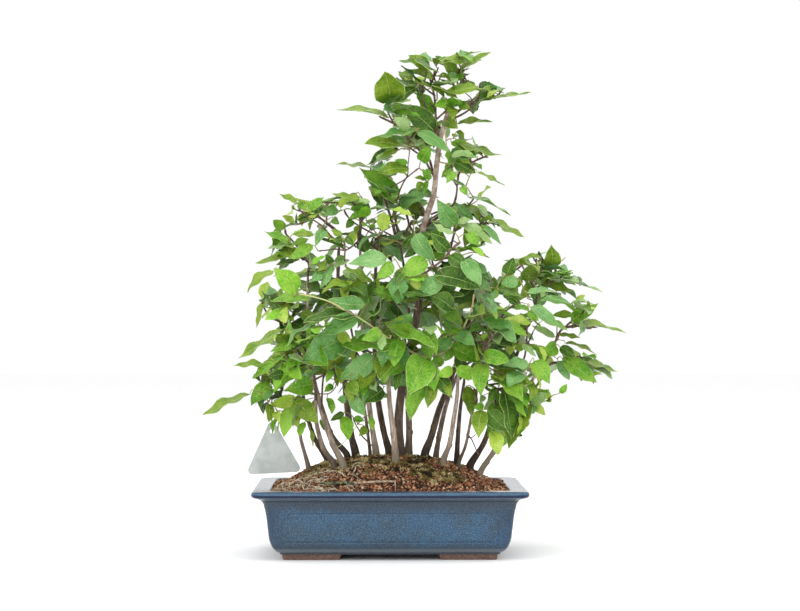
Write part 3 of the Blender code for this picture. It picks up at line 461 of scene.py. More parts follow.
# The soil is akadama, baked clay granules of two to four millimetres, heaped in a low mound. The bed
# under them is the same clay, crumbled, and fills the pot to just under its rim. It is painted much darker
# than the granules, partly the crumbs' own colour and partly painted shade in the gaps between granules.
SOIL_EDGE = 0.0570
MOUND_RISE = 0.027
MOUND_HALF_X, MOUND_HALF_Y = 0.098, 0.070
SOIL_CLEARANCE = 0.0012
GRANULES = 11500
EDGE_SPILL = 0.0008
BANK_RISE, BANK_WIDTH = 0.0020, 0.007


def soil_height(x, y):
    """Height of the soil at a place measured from the pot's middle: a mound that falls away to the rim."""
    share_x = np.minimum(np.abs(x) / MOUND_HALF_X, 1.0)
    share_y = np.minimum(np.abs(y) / MOUND_HALF_Y, 1.0)
    return SOIL_EDGE + MOUND_RISE * (1 - share_x**2.6) * (1 - share_y**2)


def ripple(x, y):
    """A gentle unevenness of about a millimetre, a sum of waves that run different ways."""
    waves = ((180, 70, 0.3), (-90, 210, 1.7), (260, -160, 4.1), (330, 290, 2.2))
    return sum(np.sin(a * x + b * y + c) for a, b, c in waves) * 0.00028


def soil_half():
    inside = RIM_WIDTH + SOIL_CLEARANCE
    return POT_WIDTH / 2 - inside, POT_DEPTH / 2 - inside


def rounded_in(x, y, half_x, half_y, radius):
    """Moves the points of an oblong's corners in to a quarter circle."""
    over_x, over_y = np.abs(x) - (half_x - radius), np.abs(y) - (half_y - radius)
    corner = (over_x > 0) & (over_y > 0)
    reach = np.where(corner, np.hypot(over_x, over_y), 1.0)
    square = np.where(corner, np.maximum(over_x, over_y), 1.0)
    scale = np.where(corner, square / np.maximum(reach, 1e-9), 1.0)
    new_x = np.where(corner, np.sign(x) * (half_x - radius + over_x * scale), x)
    new_y = np.where(corner, np.sign(y) * (half_y - radius + over_y * scale), y)
    return new_x, new_y


def soil_mesh():
    """A fine grid lifted to the mound, with a wall down to the cavity's floor and a flat base."""
    half_x, half_y = soil_half()
    rows, columns = 100, 146
    u, v = np.meshgrid(np.linspace(-1, 1, columns), np.linspace(-1, 1, rows))
    x, y = rounded_in(u * half_x, v * half_y, half_x, half_y, CAVITY_CORNER)
    z = soil_height(x, y) + ripple(x, y)
    top = np.stack((x, y, z), axis=-1).reshape(-1, 3)
    index = np.arange(rows * columns).reshape(rows, columns)
    border = np.concatenate((index[0, :-1], index[:-1, -1], index[-1, :0:-1], index[:0:-1, 0]))
    shrink = np.array((1 - CAVITY_DRAFT / half_x, 1 - CAVITY_DRAFT / half_y))
    base = np.column_stack((top[border, :2] * shrink, np.full(len(border), CAVITY_FLOOR + 0.0003)))
    under = np.arange(len(border)) + len(top)
    side = np.stack((border, under, np.roll(under, -1), np.roll(border, -1)), axis=-1)
    points = np.vstack((top, base)) + CENTRE
    return mesh_of("soil_bed", points, lattice(rows, columns, wrapped=False), side, under[::-1][None])


def blobs(places, sizes, squash, rng):
    """A joined mesh of small twenty-sided lumps, each with its own size, turn and uneven corners."""
    golden = (1 + sqrt(5)) / 2
    corners = [(0, a, b * golden) for a in (-1, 1) for b in (-1, 1)]
    ball = np.array([point[shift:] + point[:shift] for shift in range(3) for point in corners])
    ball /= np.linalg.norm(ball[0])
    near = np.linalg.norm(ball[:, None] - ball[None], axis=2) < 1.2
    faces = []
    for i in range(12):
        for j in range(i + 1, 12):
            for k in range(j + 1, 12):
                if near[i, j] and near[j, k] and near[i, k]:
                    turned = np.dot(np.cross(ball[j] - ball[i], ball[k] - ball[i]), ball[i]) < 0
                    faces.append((i, k, j) if turned else (i, j, k))
    count = len(places)
    turns = np.linalg.qr(rng.normal(size=(count, 3, 3)))[0]
    turns *= np.sign(np.linalg.det(turns))[:, None, None]
    lumps = ball * rng.uniform(0.72, 1.25, (count, 12, 1)) * rng.uniform(0.75, 1.2, (count, 1, 3))
    lumps = np.einsum("nij,nkj->nki", turns, lumps) * sizes[:, None, None]
    lumps[..., 2] *= squash
    points = (lumps + places[:, None]).reshape(-1, 3)
    offsets = np.arange(count)[:, None, None] * 12
    return points, (np.array(faces) + offsets).reshape(-1, 3)


def scattered(count, rng):
    """Places over the soil, measured from the pot's middle, up to the rim's inner edge and its corners."""
    half_x, half_y = soil_half()
    half_x, half_y = half_x + EDGE_SPILL, half_y + EDGE_SPILL
    x, y = rng.uniform(-half_x, half_x, count), rng.uniform(-half_y, half_y, count)
    return rounded_in(x, y, half_x, half_y, CAVITY_CORNER)


def banked(x, y):
    """How much higher the loose granules lie where they are pushed up against the rim."""
    half_x, half_y = soil_half()
    from_edge = np.minimum(half_x - np.abs(x), half_y - np.abs(y))
    return BANK_RISE * np.clip(1 - from_edge / BANK_WIDTH, 0, 1)


# The bed's dark brown is partly crumbled clay and partly painted shade between the granules.
earth = Finish("akadama_bed_and_gap_shade", 0.95, Specular_IOR_Level=0.2).mottle(420.0, (36, 26, 18), (76, 56, 42))
earth.relief(earth.place.noise(420.0), 0.0012)
show("soil_bed", soil_mesh(), earth, "akadama_soil", "soil")

rng = np.random.default_rng(11)
grain_x, grain_y = scattered(GRANULES, rng)
grain_size = rng.uniform(0.00065, 0.00125, GRANULES) * rng.choice((0.7, 1.0, 1.3), GRANULES)
grain_z = soil_height(grain_x, grain_y) + ripple(grain_x, grain_y) + grain_size * rng.uniform(0.0, 0.7, GRANULES)
grain_z += banked(grain_x, grain_y) * rng.uniform(0.2, 1.0, GRANULES)
grain_at = np.column_stack((grain_x, grain_y, grain_z)) + CENTRE
GRAIN_SHADES = {
    "granules_russet": (0.46, (146, 96, 70)),
    "granules_tan": (0.20, (178, 136, 104)),
    "granules_umber": (0.29, (70, 48, 36)),
    "granules_straw": (0.05, (206, 186, 152)),
}
dealt = rng.choice(len(GRAIN_SHADES), GRANULES, p=[share for share, _ in GRAIN_SHADES.values()])
for number, (name, (_, shade)) in enumerate(GRAIN_SHADES.items()):
    chosen = dealt == number
    points, faces = blobs(grain_at[chosen], grain_size[chosen], 0.85, rng)
    stone = Finish(name, 0.95, Specular_IOR_Level=0.2).mottle(600.0, 0.84 * np.array(shade), 1.14 * np.array(shade))
    show(name, mesh_of(name, points, faces), stone, "akadama_soil", sharp=180)

# Dried moss and green algae cling between the stems' feet, in low tufts of olive and straw-coloured
# threads among near-black ones, which are partly a dark crust and partly painted shade between the tufts.
MOSS_PATCHES = ((-0.020, -0.012, 0.026), (0.034, -0.004, 0.024), (-0.052, 0.004, 0.018), (0.006, 0.028, 0.026),
                (0.060, 0.012, 0.016), (-0.030, 0.030, 0.020), (0.020, -0.030, 0.016), (-0.032, -0.026, 0.016),
                (0.052, -0.046, 0.010), (-0.060, -0.022, 0.014), (0.030, -0.044, 0.010), (-0.006, -0.024, 0.014))
MOSS_SHADES = {
    "moss_olive": (0.32, (124, 112, 58)),
    "moss_straw": (0.36, (202, 184, 132)),
    # Near-black tufts: partly dark moss crust, partly painted shade between the tufts.
    "moss_dark_and_shade": (0.32, (50, 42, 26)),
}
MOSS_TUFTS, MOSS_CLUMPS = 10000, 330
CLUMP_WIDTH, CLUMP_RISE = 0.0017, 0.0012


def tufts(places, lengths, rng):
    """Three-sided slivers, each leaning its own way from its foot."""
    count = len(places)
    lean = rng.normal(size=(count, 3)) * (0.9, 0.9, 0.35) + (0, 0, 0.5)
    lean /= np.linalg.norm(lean, axis=1)[:, None]
    side = np.cross(lean, rng.normal(size=(count, 3)))
    side /= np.linalg.norm(side, axis=1)[:, None]
    other = np.cross(lean, side)
    width = lengths[:, None] * 0.16
    ring = [side, -0.5 * side + 0.87 * other, -0.5 * side - 0.87 * other]
    foot = [places + way * width - lean * lengths[:, None] * 0.2 for way in ring]
    tip = places + lean * lengths[:, None]
    points = np.stack((*foot, tip), axis=1).reshape(-1, 3)
    faces = np.array(((0, 1, 3), (1, 2, 3), (2, 0, 3), (2, 1, 0)))
    return points, (faces + np.arange(count)[:, None, None] * 4).reshape(-1, 3)


patch = np.array(MOSS_PATCHES)[rng.choice(len(MOSS_PATCHES), MOSS_CLUMPS)]
clump_at = patch[:, :2] + rng.normal(size=(MOSS_CLUMPS, 2)) * patch[:, 2:] * 0.55
clump_shade = rng.choice(len(MOSS_SHADES), MOSS_CLUMPS, p=[share for share, _ in MOSS_SHADES.values()])
tuft_clump = rng.integers(MOSS_CLUMPS, size=MOSS_TUFTS)
apart = rng.normal(size=(MOSS_TUFTS, 2)) * CLUMP_WIDTH
tuft_x, tuft_y = (clump_at[tuft_clump] + apart).T
dome = CLUMP_RISE * np.exp(-((apart / CLUMP_WIDTH) ** 2).sum(axis=1) / 2)
tuft_at = np.column_stack((tuft_x, tuft_y, soil_height(tuft_x, tuft_y) + ripple(tuft_x, tuft_y) + 0.0006 + dome))
for number, (name, (_, shade)) in enumerate(MOSS_SHADES.items()):
    chosen = clump_shade[tuft_clump] == number
    points, faces = tufts(tuft_at[chosen] + CENTRE, rng.uniform(0.0012, 0.0032, chosen.sum()), rng)
    moss = Finish(name, 0.9, Specular_IOR_Level=0.2).mottle(500.0, 0.8 * np.array(shade), 1.2 * np.array(shade))
    show(name, mesh_of(name, points, faces), moss, "akadama_soil", sharp=180)

# The stems, the trunk and its boughs are living wood, each a tapering limb that leans its own way from
# a flared foot. The bark is smooth and thin, grey to pinkish brown, and painted darker near the soil,
# partly as lichen and partly as painted shade under the crown.
GAP = 0.0003
SOCKET_DEPTH = 0.0018
STEMS = {
    "stem_01": ((-0.072, 0.000), (-0.083, -0.010, 0.130), (-0.001, 0.003), 0.0016, 0.0010),
    "stem_02": ((-0.056, 0.013), (-0.080, 0.015, 0.183), (-0.007, 0.004), 0.0022, 0.0011),
    "stem_03": ((-0.049, -0.030), (-0.064, -0.047, 0.136), (-0.005, -0.003), 0.0021, 0.0012),
    "stem_04": ((-0.041, -0.034), (-0.072, 0.000, 0.245), (-0.011, 0.002), 0.0034, 0.0013),
    "stem_05": ((-0.038, 0.004), (-0.066, 0.027, 0.147), (-0.003, 0.003), 0.0024, 0.0012),
    "stem_06": ((-0.030, 0.012), (-0.045, 0.010, 0.266), (-0.004, 0.012), 0.0032, 0.0014),
    "stem_07": ((-0.017, 0.030), (-0.034, 0.036, 0.196), (0.001, 0.004), 0.0016, 0.0010),
    "stem_08": ((-0.012, 0.006), (-0.026, -0.005, 0.283), (-0.004, -0.004), 0.0031, 0.0013),
    "stem_09": ((0.000, 0.019), (-0.012, -0.012, 0.256), (-0.007, 0.012), 0.0029, 0.0013),
    "stem_10": ((0.005, -0.027), (-0.010, -0.042, 0.207), (0.002, -0.003), 0.0034, 0.0012),
    "stem_11": ((0.017, 0.018), (0.015, 0.045, 0.178), (0.001, 0.004), 0.0029, 0.0014),
    "stem_12": ((0.032, 0.010), (0.071, 0.020, 0.192), (-0.003, 0.004), 0.0029, 0.0013),
    "stem_13": ((0.042, 0.026), (0.069, 0.052, 0.169), (-0.005, 0.002), 0.0021, 0.0011),
    "stem_14": ((0.047, -0.022), (0.059, -0.040, 0.160), (0.003, -0.003), 0.0026, 0.0013),
    "stem_15": ((0.060, 0.010), (0.066, 0.002, 0.150), (-0.002, 0.002), 0.0021, 0.0011),
    "stem_16": ((0.061, -0.014), (0.075, -0.036, 0.140), (0.001, -0.002), 0.0015, 0.0010),
    "stem_17": ((0.072, 0.003), (0.123, 0.006, 0.201), (0.002, 0.003), 0.0027, 0.0012),
    "stem_18": ((0.082, 0.022), (0.140, 0.024, 0.158), (-0.001, 0.003), 0.0016, 0.0010),
    "stem_19": ((0.080, -0.016), (0.148, -0.006, 0.189), (-0.003, -0.006), 0.0022, 0.0011),
}
PALE_STEMS = ("stem_01", "stem_04", "stem_08", "stem_10", "stem_14", "stem_19")
DARK_STEMS = ("stem_02", "stem_05", "stem_06", "stem_09", "stem_12", "stem_15", "stem_17")
STEM_STEP = 0.024
FLARE = 1.45
FLARE_HEIGHT = 0.007
TAPER_POWER = 0.8
WOBBLE = 0.0011
TRUNK_ROUTE = (
    (0.009, 0.000, 0.085),
    (0.008, 0.001, 0.116),
    (0.013, 0.003, 0.156),
    (0.023, 0.002, 0.203),
    (0.028, 0.000, 0.236),
    (0.028, -0.002, 0.271),
    (0.032, 0.000, 0.294),
    (0.039, 0.002, 0.316),
    (0.042, 0.002, 0.343),
    (0.046, 0.000, 0.369),
    (0.054, -0.002, 0.396),
)
TRUNK_RADII = 0.0043, 0.0021
BOUGHS = {
    "bough_left_fork": ("trunk", 0.38, (0.015, 0.002, 0.238), (0.006, -0.002, 0.289), 0.0022, 0.0013),
    "bough_right_fork": ("trunk", 0.69, (0.057, 0.012, 0.308), (0.061, 0.018, 0.327), 0.0014, 0.0010),
    "bough_upper_left": ("trunk", 0.80, (0.028, -0.005, 0.352), (0.016, -0.010, 0.365), 0.0015, 0.0011),
    "bough_far_left": ("stem_01", 0.72, (-0.095, -0.011, 0.138), (-0.113, -0.013, 0.150), 0.0010, 0.0008),
}
SEED = 7
BARK_STEP = 0.0011
BARK_SIDES = 14
ROOT_RIDGE = 0.30
BOUGH_SLIMMING, FOOT_SLIMMING = 0.66, 0.16
# How much wider or slimmer a stem shows than its solid: the others are as wide as they show
STEM_WIDTHS = {
    "stem_01": 1.15, "stem_03": 1.20, "stem_04": 0.80, "stem_05": 1.05, "stem_07": 0.95, "stem_08": 0.85,
    "stem_10": 0.82, "stem_11": 1.15, "stem_12": 1.15, "stem_13": 1.20, "stem_14": 0.95, "stem_15": 1.10,
    "trunk": 0.94,
}


def unit(vector):
    return vector / np.linalg.norm(vector)


class Limb:
    """A tapering limb: its axis points, its radius at each, and its length so far at each."""

    def __init__(self, points, radii):
        self.points = np.array(points)
        self.radii = np.array(radii)
        steps = np.linalg.norm(np.diff(self.points, axis=0), axis=1)
        self.along = np.concatenate(([0.0], np.cumsum(steps)))

    def at(self, share):
        """The point, direction and radius this share of the way along."""
        place = share * self.along[-1]
        i = min(int(np.searchsorted(self.along, place, side="right")) - 1, len(self.points) - 2)
        step = self.points[i + 1] - self.points[i]
        part = (place - self.along[i]) / (self.along[i + 1] - self.along[i])
        radius = self.radii[i] + part * (self.radii[i + 1] - self.radii[i])
        return self.points[i] + part * step, step / np.linalg.norm(step), radius

    def beads(self, step=0.0015):
        """Points close together along the axis, and the radius at each."""
        count = int(np.ceil(self.along[-1] / step)) + 1
        places = np.linspace(0, self.along[-1], count)
        points = np.stack([np.interp(places, self.along, self.points[:, i]) for i in range(3)], axis=1)
        return points, np.interp(places, self.along, self.radii)


def planted(points, foot_radius, tip_radius):
    """A limb that rises straight from a flared, level foot and then follows the points."""
    foot = points[0]
    above = foot + (0, 0, FLARE_HEIGHT)
    rest = [point for point in points[1:] if point[2] > above[2] + FLARE_HEIGHT / 2]
    route = np.array([foot, above, *rest])
    limb = Limb(route, np.zeros(len(route)))
    share = limb.along / limb.along[-1]
    limb.radii = foot_radius + (tip_radius - foot_radius) * share**TAPER_POWER
    limb.radii[0] = foot_radius * FLARE
    return limb


def meeting_point(parent, share, heading, radius):
    """Where a shoot with this heading and radius starts, its flat end one gap clear of the parent limb."""
    point, direction, parent_radius = parent.at(share)
    if share >= 1.0:
        return point + direction * GAP
    across = unit(heading - direction * heading.dot(direction))
    lean = abs(heading.dot(direction))
    return point + across * (parent_radius + GAP + radius * lean)


def grow_limbs():
    """The same limbs as the solids', from the same sizes and the same seeded wobble."""
    limbs = {}
    for index, (name, (foot, tip, bow, foot_radius, tip_radius)) in enumerate(STEMS.items()):
        wobble = np.random.default_rng(SEED + index)
        start = np.array((*foot, soil_height(*foot) - SOCKET_DEPTH))
        count = int(round((tip[2] - start[2]) / STEM_STEP))
        share = np.linspace(0, 1, count + 1)[:, None]
        points = start + share * (np.array(tip) - start) + 4 * share * (1 - share) * np.array((*bow, 0.0))
        points[1:-1, :2] += wobble.uniform(-WOBBLE, WOBBLE, (count - 1, 2))
        limbs[name] = planted(points, foot_radius, tip_radius)
    route = smooth_route(TRUNK_ROUTE, STEM_STEP)
    route[0, 2] = soil_height(*route[0, :2]) - SOCKET_DEPTH
    limbs["trunk"] = planted(route, *TRUNK_RADII)
    for name, (parent, share, elbow, tip, base_radius, tip_radius) in BOUGHS.items():
        heading = unit(np.array(elbow) - limbs[parent].at(share)[0])
        start = meeting_point(limbs[parent], share, heading, base_radius)
        points = smooth_route((start, elbow, tip), STEM_STEP)
        limbs[name] = Limb(points, np.linspace(base_radius, tip_radius, len(points)))
    return limbs


def carried_frames(points):
    """Two directions across a path at each of its points, turned as little as the path allows."""
    ahead = np.gradient(points, axis=0)
    ahead /= np.linalg.norm(ahead, axis=1)[:, None]
    side = np.empty_like(ahead)
    side[0] = unit(np.cross(ahead[0], (0.31, 0.95, 0.08)))
    for i in range(1, len(points)):
        side[i] = unit(side[i - 1] - ahead[i] * side[i - 1].dot(ahead[i]))
    return side, np.cross(ahead, side)


def sleeve(points, radii, sides, swell=None):
    """A closed tube round a path: a ring of points at each step, and a fan that closes each end."""
    side, over = carried_frames(points)
    turns = np.linspace(0, 2 * pi, sides, endpoint=False)
    round_it = np.cos(turns)[None, :, None] * side[:, None] + np.sin(turns)[None, :, None] * over[:, None]
    reach = np.asarray(radii)[:, None] * (1 if swell is None else swell)
    rings = points[:, None] + round_it * np.broadcast_to(reach, (len(points), sides))[..., None]
    verts = np.vstack((rings.reshape(-1, 3), points[:1], points[-1:]))
    ring = np.arange(sides)
    foot, tip = len(verts) - 2, len(verts) - 1
    last = (len(points) - 1) * sides
    start_fan = np.column_stack((np.full(sides, foot), np.roll(ring, -1), ring))
    end_fan = np.column_stack((np.full(sides, tip), last + ring, last + np.roll(ring, -1)))
    return verts, lattice(len(points), sides), np.vstack((start_fan, end_fan))


def bundle(name, sleeves):
    """One mesh from many closed tubes."""
    starts = np.concatenate(([0], np.cumsum([len(verts) for verts, _, _ in sleeves])[:-1]))
    points = np.vstack([verts for verts, _, _ in sleeves]) + CENTRE
    quads = np.vstack([quads + start for start, (_, quads, _) in zip(starts, sleeves)])
    fans = np.vstack([fans + start for start, (_, _, fans) in zip(starts, sleeves)])
    return mesh_of(name, points, quads, fans)


def bark_sleeve(limb, seed, width, rooted):
    """A limb's skin: long low ribs, rings at old buds, small lumps, and root ridges at its foot."""
    own = np.random.default_rng(seed)
    route = smooth_route(limb.points, BARK_STEP)
    limb_share = np.linspace(0, 1, len(limb.points))
    radii = np.interp(np.linspace(0, 1, len(route)), limb_share, limb.radii)
    length = limb.along[-1]
    along = np.linspace(0, length, len(route))[:, None]
    turns = np.linspace(0, 2 * pi, BARK_SIDES, endpoint=False)[None]
    phase = own.uniform(0, 2 * pi, 6)
    swell = 1 + 0.045 * np.sin(3 * turns + 60 * along + phase[0]) + 0.030 * np.sin(5 * turns - 95 * along + phase[1])
    swell = swell + 0.030 * np.sin(2 * turns + 340 * along + phase[2]) * np.sin(210 * along + phase[3])
    swell = swell + own.normal(size=(1, BARK_SIDES)) * 0.03 + own.normal(size=(len(route), BARK_SIDES)) * 0.014
    for bud in own.uniform(0.12, 0.95, max(2, int(length / 0.028))):
        facing = 0.5 + 0.5 * np.cos(turns - own.uniform(0, 2 * pi))
        swell = swell + 0.28 * facing**2 * np.exp(-(((along - bud * length) / 0.0014) ** 2))
    radii = radii * width
    if rooted:
        climb = along / FLARE_HEIGHT
        radii = radii * (1 - FOOT_SLIMMING * np.exp(-climb[:, 0] * 0.7))
        ridges = 0.5 + 0.5 * np.cos(own.integers(3, 5) * turns + phase[4])
        swell = swell + (ridges - 0.35) * np.exp(-climb * 1.3) * ROOT_RIDGE
    return sleeve(route, radii, BARK_SIDES, swell)


def bark_finish(name, light, dark, lichen_and_shade):
    """Bark in blotches of two browns with dark lengthwise streaks and pale scales, darker at the foot, partly lichen
    and partly painted shade.
    """
    skin = Finish(name, 0.80, Specular_IOR_Level=0.3)
    squeezed = skin.place.node("ShaderNodeMapping", None, {"Vector": skin.place, "Scale": (1.0, 1.0, 0.14)})
    streak = squeezed.noise(1100.0, 3.0, 0.6)
    blotch = squeezed.noise(420.0, 4.0, 0.65)
    if not isinstance(light, Wire):
        light, dark = colour(*light), colour(*dark)
    wood = blotch.clear_of(0.38, 0.62).blend(dark, light)
    lined = (streak.clear_of(0.50, 0.66) * 0.6).blend(wood, colour(*lichen_and_shade))
    scaled = ((1 - streak.clear_of(0.30, 0.40)) * 0.35).blend(lined, colour(196, 186, 174))
    # Darker towards the soil: partly lichen, partly painted shade under the crown.
    foot = (1 - skin.place.part(2).clear_of(0.080, 0.108)) * blotch.clear_of(0.34, 0.52)
    skin.paint((foot * 0.85).blend(scaled, colour(*lichen_and_shade)))
    skin.relief(streak * 0.5 + blotch, 0.0006)
    return skin


def trunk_finish():
    """The trunk's bark, dull brown where the crown shades it and paler and pinker above."""
    skin = bark_finish("bark_trunk", (122, 102, 88), (88, 72, 60), (58, 50, 40))
    socket = skin.shader.inputs["Base Color"]
    low_bark = Wire(skin.tree, socket.links[0].from_socket)
    blotch = skin.place.noise(160.0, 3.0, 0.6).clear_of(0.36, 0.64)
    high_bark = blotch.blend(colour(148, 124, 112), colour(204, 184, 172))
    return skin.paint(skin.place.part(2).clear_of(0.24, 0.30).blend(low_bark, high_bark))


limbs = grow_limbs()
fair_bark = bark_finish("bark_fair", (196, 176, 162), (142, 122, 108), (112, 104, 86))
brown_bark = bark_finish("bark_brown", (156, 138, 124), (106, 90, 78), (82, 74, 58))
dark_bark = bark_finish("bark_dark", (118, 98, 84), (70, 56, 46), (36, 31, 25))
trunk_bark = trunk_finish()
for name, skin, members in (
    ("stems_fair", fair_bark, PALE_STEMS),
    ("stems_dark", dark_bark, DARK_STEMS),
    ("stems_brown", brown_bark, tuple(key for key in STEMS if key not in PALE_STEMS + DARK_STEMS)),
    ("trunk_wood", trunk_bark, ("trunk",)),
    ("bough_wood", dark_bark, tuple(BOUGHS)),
):
    sleeves = [
        bark_sleeve(
            limbs[key],
            SEED + 500 + list(limbs).index(key),
            BOUGH_SLIMMING if key in BOUGHS else STEM_WIDTHS.get(key, 1.0),
            key not in BOUGHS,
        )
        for key in members
    ]
    show(name, bundle(name, sleeves), skin, "bark", *members, sharp=60)

# Dead rootlets lie in a tangle over the soil at the left, with a broken stick across the front and the
# stub of a root by its end. They are bleached wood, loose but for their ends in the granules.
ROOTLETS = 66
ROOT_PATCH = ((-0.096, -0.034), (-0.072, -0.034))
ROOT_STRIDE = 0.0030
STICK_ROUTE = ((-0.0567, -0.0612), (-0.0430, -0.0606), (-0.0270, -0.0614), (-0.0100, -0.0604), (0.0042, -0.0600))
STICK_BARED = -0.0540
STUB_ROUTE = ((0.0040, -0.0672, -0.0010), (0.0044, -0.0664, 0.0050), (0.0041, -0.0652, 0.0105))


def rootlet(own):
    """A thin root's route, which wanders over the soil and dips in at both ends."""
    steps = own.integers(5, 12)
    heading = own.uniform(0, 2 * pi) + np.cumsum(own.normal(size=steps) * 0.6)
    strides = np.column_stack((np.cos(heading), np.sin(heading) * 0.6)) * ROOT_STRIDE
    x, y = (own.uniform(*np.transpose(ROOT_PATCH)) + np.cumsum(strides, axis=0)).T
    lift = own.uniform(0.0022, 0.0058) * np.sin(np.linspace(0.0, pi, steps)) ** 0.5
    return smooth_route(np.column_stack((x, y, soil_height(x, y) + lift)), 0.0014)


litter_rng = np.random.default_rng(SEED + 60)
litter = []
for route in [rootlet(litter_rng) for _ in range(ROOTLETS)]:
    thickness = litter_rng.uniform(0.00015, 0.00030) * litter_rng.choice((1.0, 2.2), p=(0.8, 0.2))
    litter.append(sleeve(route, thickness * np.linspace(1.0, 0.5, len(route)), 4))
dry_root = Finish("dry_root", 0.85, Specular_IOR_Level=0.2).mottle(300.0, (140, 128, 100), (224, 214, 190))
show("rootlets", bundle("rootlets", litter), dry_root, "bark", sharp=180)
stick_flat = np.array(STICK_ROUTE)
stick_points = np.column_stack((stick_flat, soil_height(*stick_flat.T) + 0.0030))
stub_points = np.array(STUB_ROUTE) + (0, 0, SOIL_EDGE)
sticks = [
    sleeve(smooth_route(stick_points, 0.002), np.linspace(0.0015, 0.0009, 32), 8),
    sleeve(smooth_route(stub_points, 0.001), np.full(13, 0.0006), 6),
]
dry_wood = Finish("dry_wood", 0.8, Specular_IOR_Level=0.25)
stick_grain = dry_wood.place.noise(500.0, 3.0, 0.6).clear_of(0.38, 0.62)
mossed = stick_grain.blend(colour(48, 52, 36), colour(112, 114, 84))
peeled = stick_grain.blend(colour(126, 100, 80), colour(190, 170, 146))
dry_wood.paint(dry_wood.place.part(0).clear_of(STICK_BARED - 0.004, STICK_BARED + 0.004).blend(mossed, peeled))
show("stick", bundle("stick", sticks), dry_wood, "bark", sharp=180)

# The masses of foliage grow on from the limbs. Each is a leader with side twigs, left and right by
# turns, and finer twigs off those, brown where they are old and green where they grew this year.
MASSES = {
    "foliage_apex_left": ("trunk", 0.90, (0.030, -0.014, 0.443), 0.028, 0.033, 0.15),
    "foliage_apex": ("trunk", 1.0, (0.080, 0.004, 0.443), 0.024, 0.031, 0.15),
    "foliage_apex_right": ("trunk", 0.96, (0.122, -0.008, 0.410), 0.026, 0.033, 0.20),
    "foliage_upper_left": ("bough_upper_left", 1.0, (-0.044, -0.018, 0.404), 0.030, 0.034, 0.15),
    "foliage_mid_left": ("bough_left_fork", 1.0, (-0.046, -0.012, 0.358), 0.034, 0.035, 0.15),
    "foliage_upper_right": ("bough_right_fork", 1.0, (0.107, 0.020, 0.368), 0.030, 0.034, 0.25),
    "foliage_mid_right": ("trunk", 0.66, (0.118, -0.018, 0.292), 0.032, 0.035, 0.30),
    "foliage_upper_back": ("trunk", 0.80, (0.008, 0.058, 0.388), 0.032, 0.035, 0.25),
    "foliage_left_top": ("stem_08", 1.0, (-0.054, -0.012, 0.342), 0.036, 0.036, 0.15),
    "foliage_left_crest": ("stem_06", 1.0, (-0.098, 0.018, 0.324), 0.032, 0.036, 0.15),
    "foliage_left_upper": ("stem_04", 1.0, (-0.122, 0.000, 0.286), 0.032, 0.036, 0.25),
    "foliage_left": ("stem_02", 1.0, (-0.134, 0.010, 0.226), 0.034, 0.037, 0.30),
    "foliage_far_left": ("bough_far_left", 1.0, (-0.163, -0.012, 0.124), 0.018, 0.032, 0.20),
    "foliage_left_low": ("stem_01", 1.0, (-0.112, -0.056, 0.140), 0.032, 0.037, 0.50),
    "foliage_left_skirt": ("stem_03", 1.0, (-0.078, -0.094, 0.204), 0.036, 0.040, 0.45),
    "foliage_back_left": ("stem_07", 1.0, (-0.062, 0.066, 0.256), 0.036, 0.039, 0.30),
    "foliage_front_upper": ("stem_09", 1.0, (-0.044, -0.056, 0.296), 0.036, 0.038, 0.30),
    "foliage_front": ("stem_10", 1.0, (-0.004, -0.092, 0.246), 0.036, 0.040, 0.40),
    "foliage_front_skirt": ("stem_10", 0.75, (0.030, -0.104, 0.186), 0.036, 0.042, 0.50),
    "foliage_front_skirt_left": ("stem_08", 0.32, (-0.026, -0.096, 0.180), 0.034, 0.040, 0.50),
    "foliage_front_right": ("stem_14", 1.0, (0.062, -0.090, 0.222), 0.036, 0.040, 0.40),
    "foliage_back": ("stem_11", 1.0, (0.018, 0.094, 0.246), 0.038, 0.040, 0.30),
    "foliage_middle": ("trunk", 0.45, (0.074, -0.048, 0.272), 0.036, 0.039, 0.30),
    "foliage_right_centre": ("stem_12", 1.0, (0.108, 0.034, 0.258), 0.034, 0.038, 0.30),
    "foliage_back_right": ("stem_13", 1.0, (0.088, 0.098, 0.222), 0.036, 0.040, 0.35),
    "foliage_right_low": ("stem_16", 1.0, (0.112, -0.082, 0.146), 0.032, 0.039, 0.55),
    "foliage_right_upper": ("stem_17", 1.0, (0.146, 0.010, 0.280), 0.036, 0.037, 0.20),
    "foliage_far_right": ("stem_19", 1.0, (0.207, -0.012, 0.204), 0.032, 0.037, 0.25),
    "foliage_right_edge": ("stem_18", 1.0, (0.200, 0.020, 0.160), 0.030, 0.037, 0.30),
    "foliage_right_skirt": ("stem_19", 0.60, (0.114, -0.054, 0.092), 0.028, 0.037, 0.60),
    "foliage_right_front": ("stem_15", 1.0, (0.142, -0.046, 0.196), 0.036, 0.039, 0.35),
    "foliage_back_left_low": ("stem_05", 1.0, (-0.098, 0.072, 0.196), 0.036, 0.039, 0.40),
    "foliage_upper_centre_back": ("trunk", 0.55, (0.012, 0.072, 0.318), 0.034, 0.038, 0.25),
}
LEADER_RADIUS, TWIG_RADIUS, SHOOT_RADIUS = 0.0012, 0.0009, 0.0005
LEADER_STEP = 0.018
BARE_START, LAST_TWIG = 0.22, 0.92
ZIGZAG = 0.0016
LEADER_BEND = 0.42
TWIG_RISE = 0.10
TWIG_TURN = radians(137.5)
LEAF_PAST_LEADER = 0.65
CELL_MARGIN = 0.0003
CELL_CENTRE = 0.58
LOWEST_LEAF = 0.086
TRIES = 10
CROWN_HEART = (0.02, 0.0, 0.20)
LEAF_WIDTH, LEAF_WIDEST, LEAF_ARCH, LEAF_BEAD = 0.53, 0.42, 0.06, 0.0009
AIRY_FROM, AIRY_SPAN = 0.30, 0.12
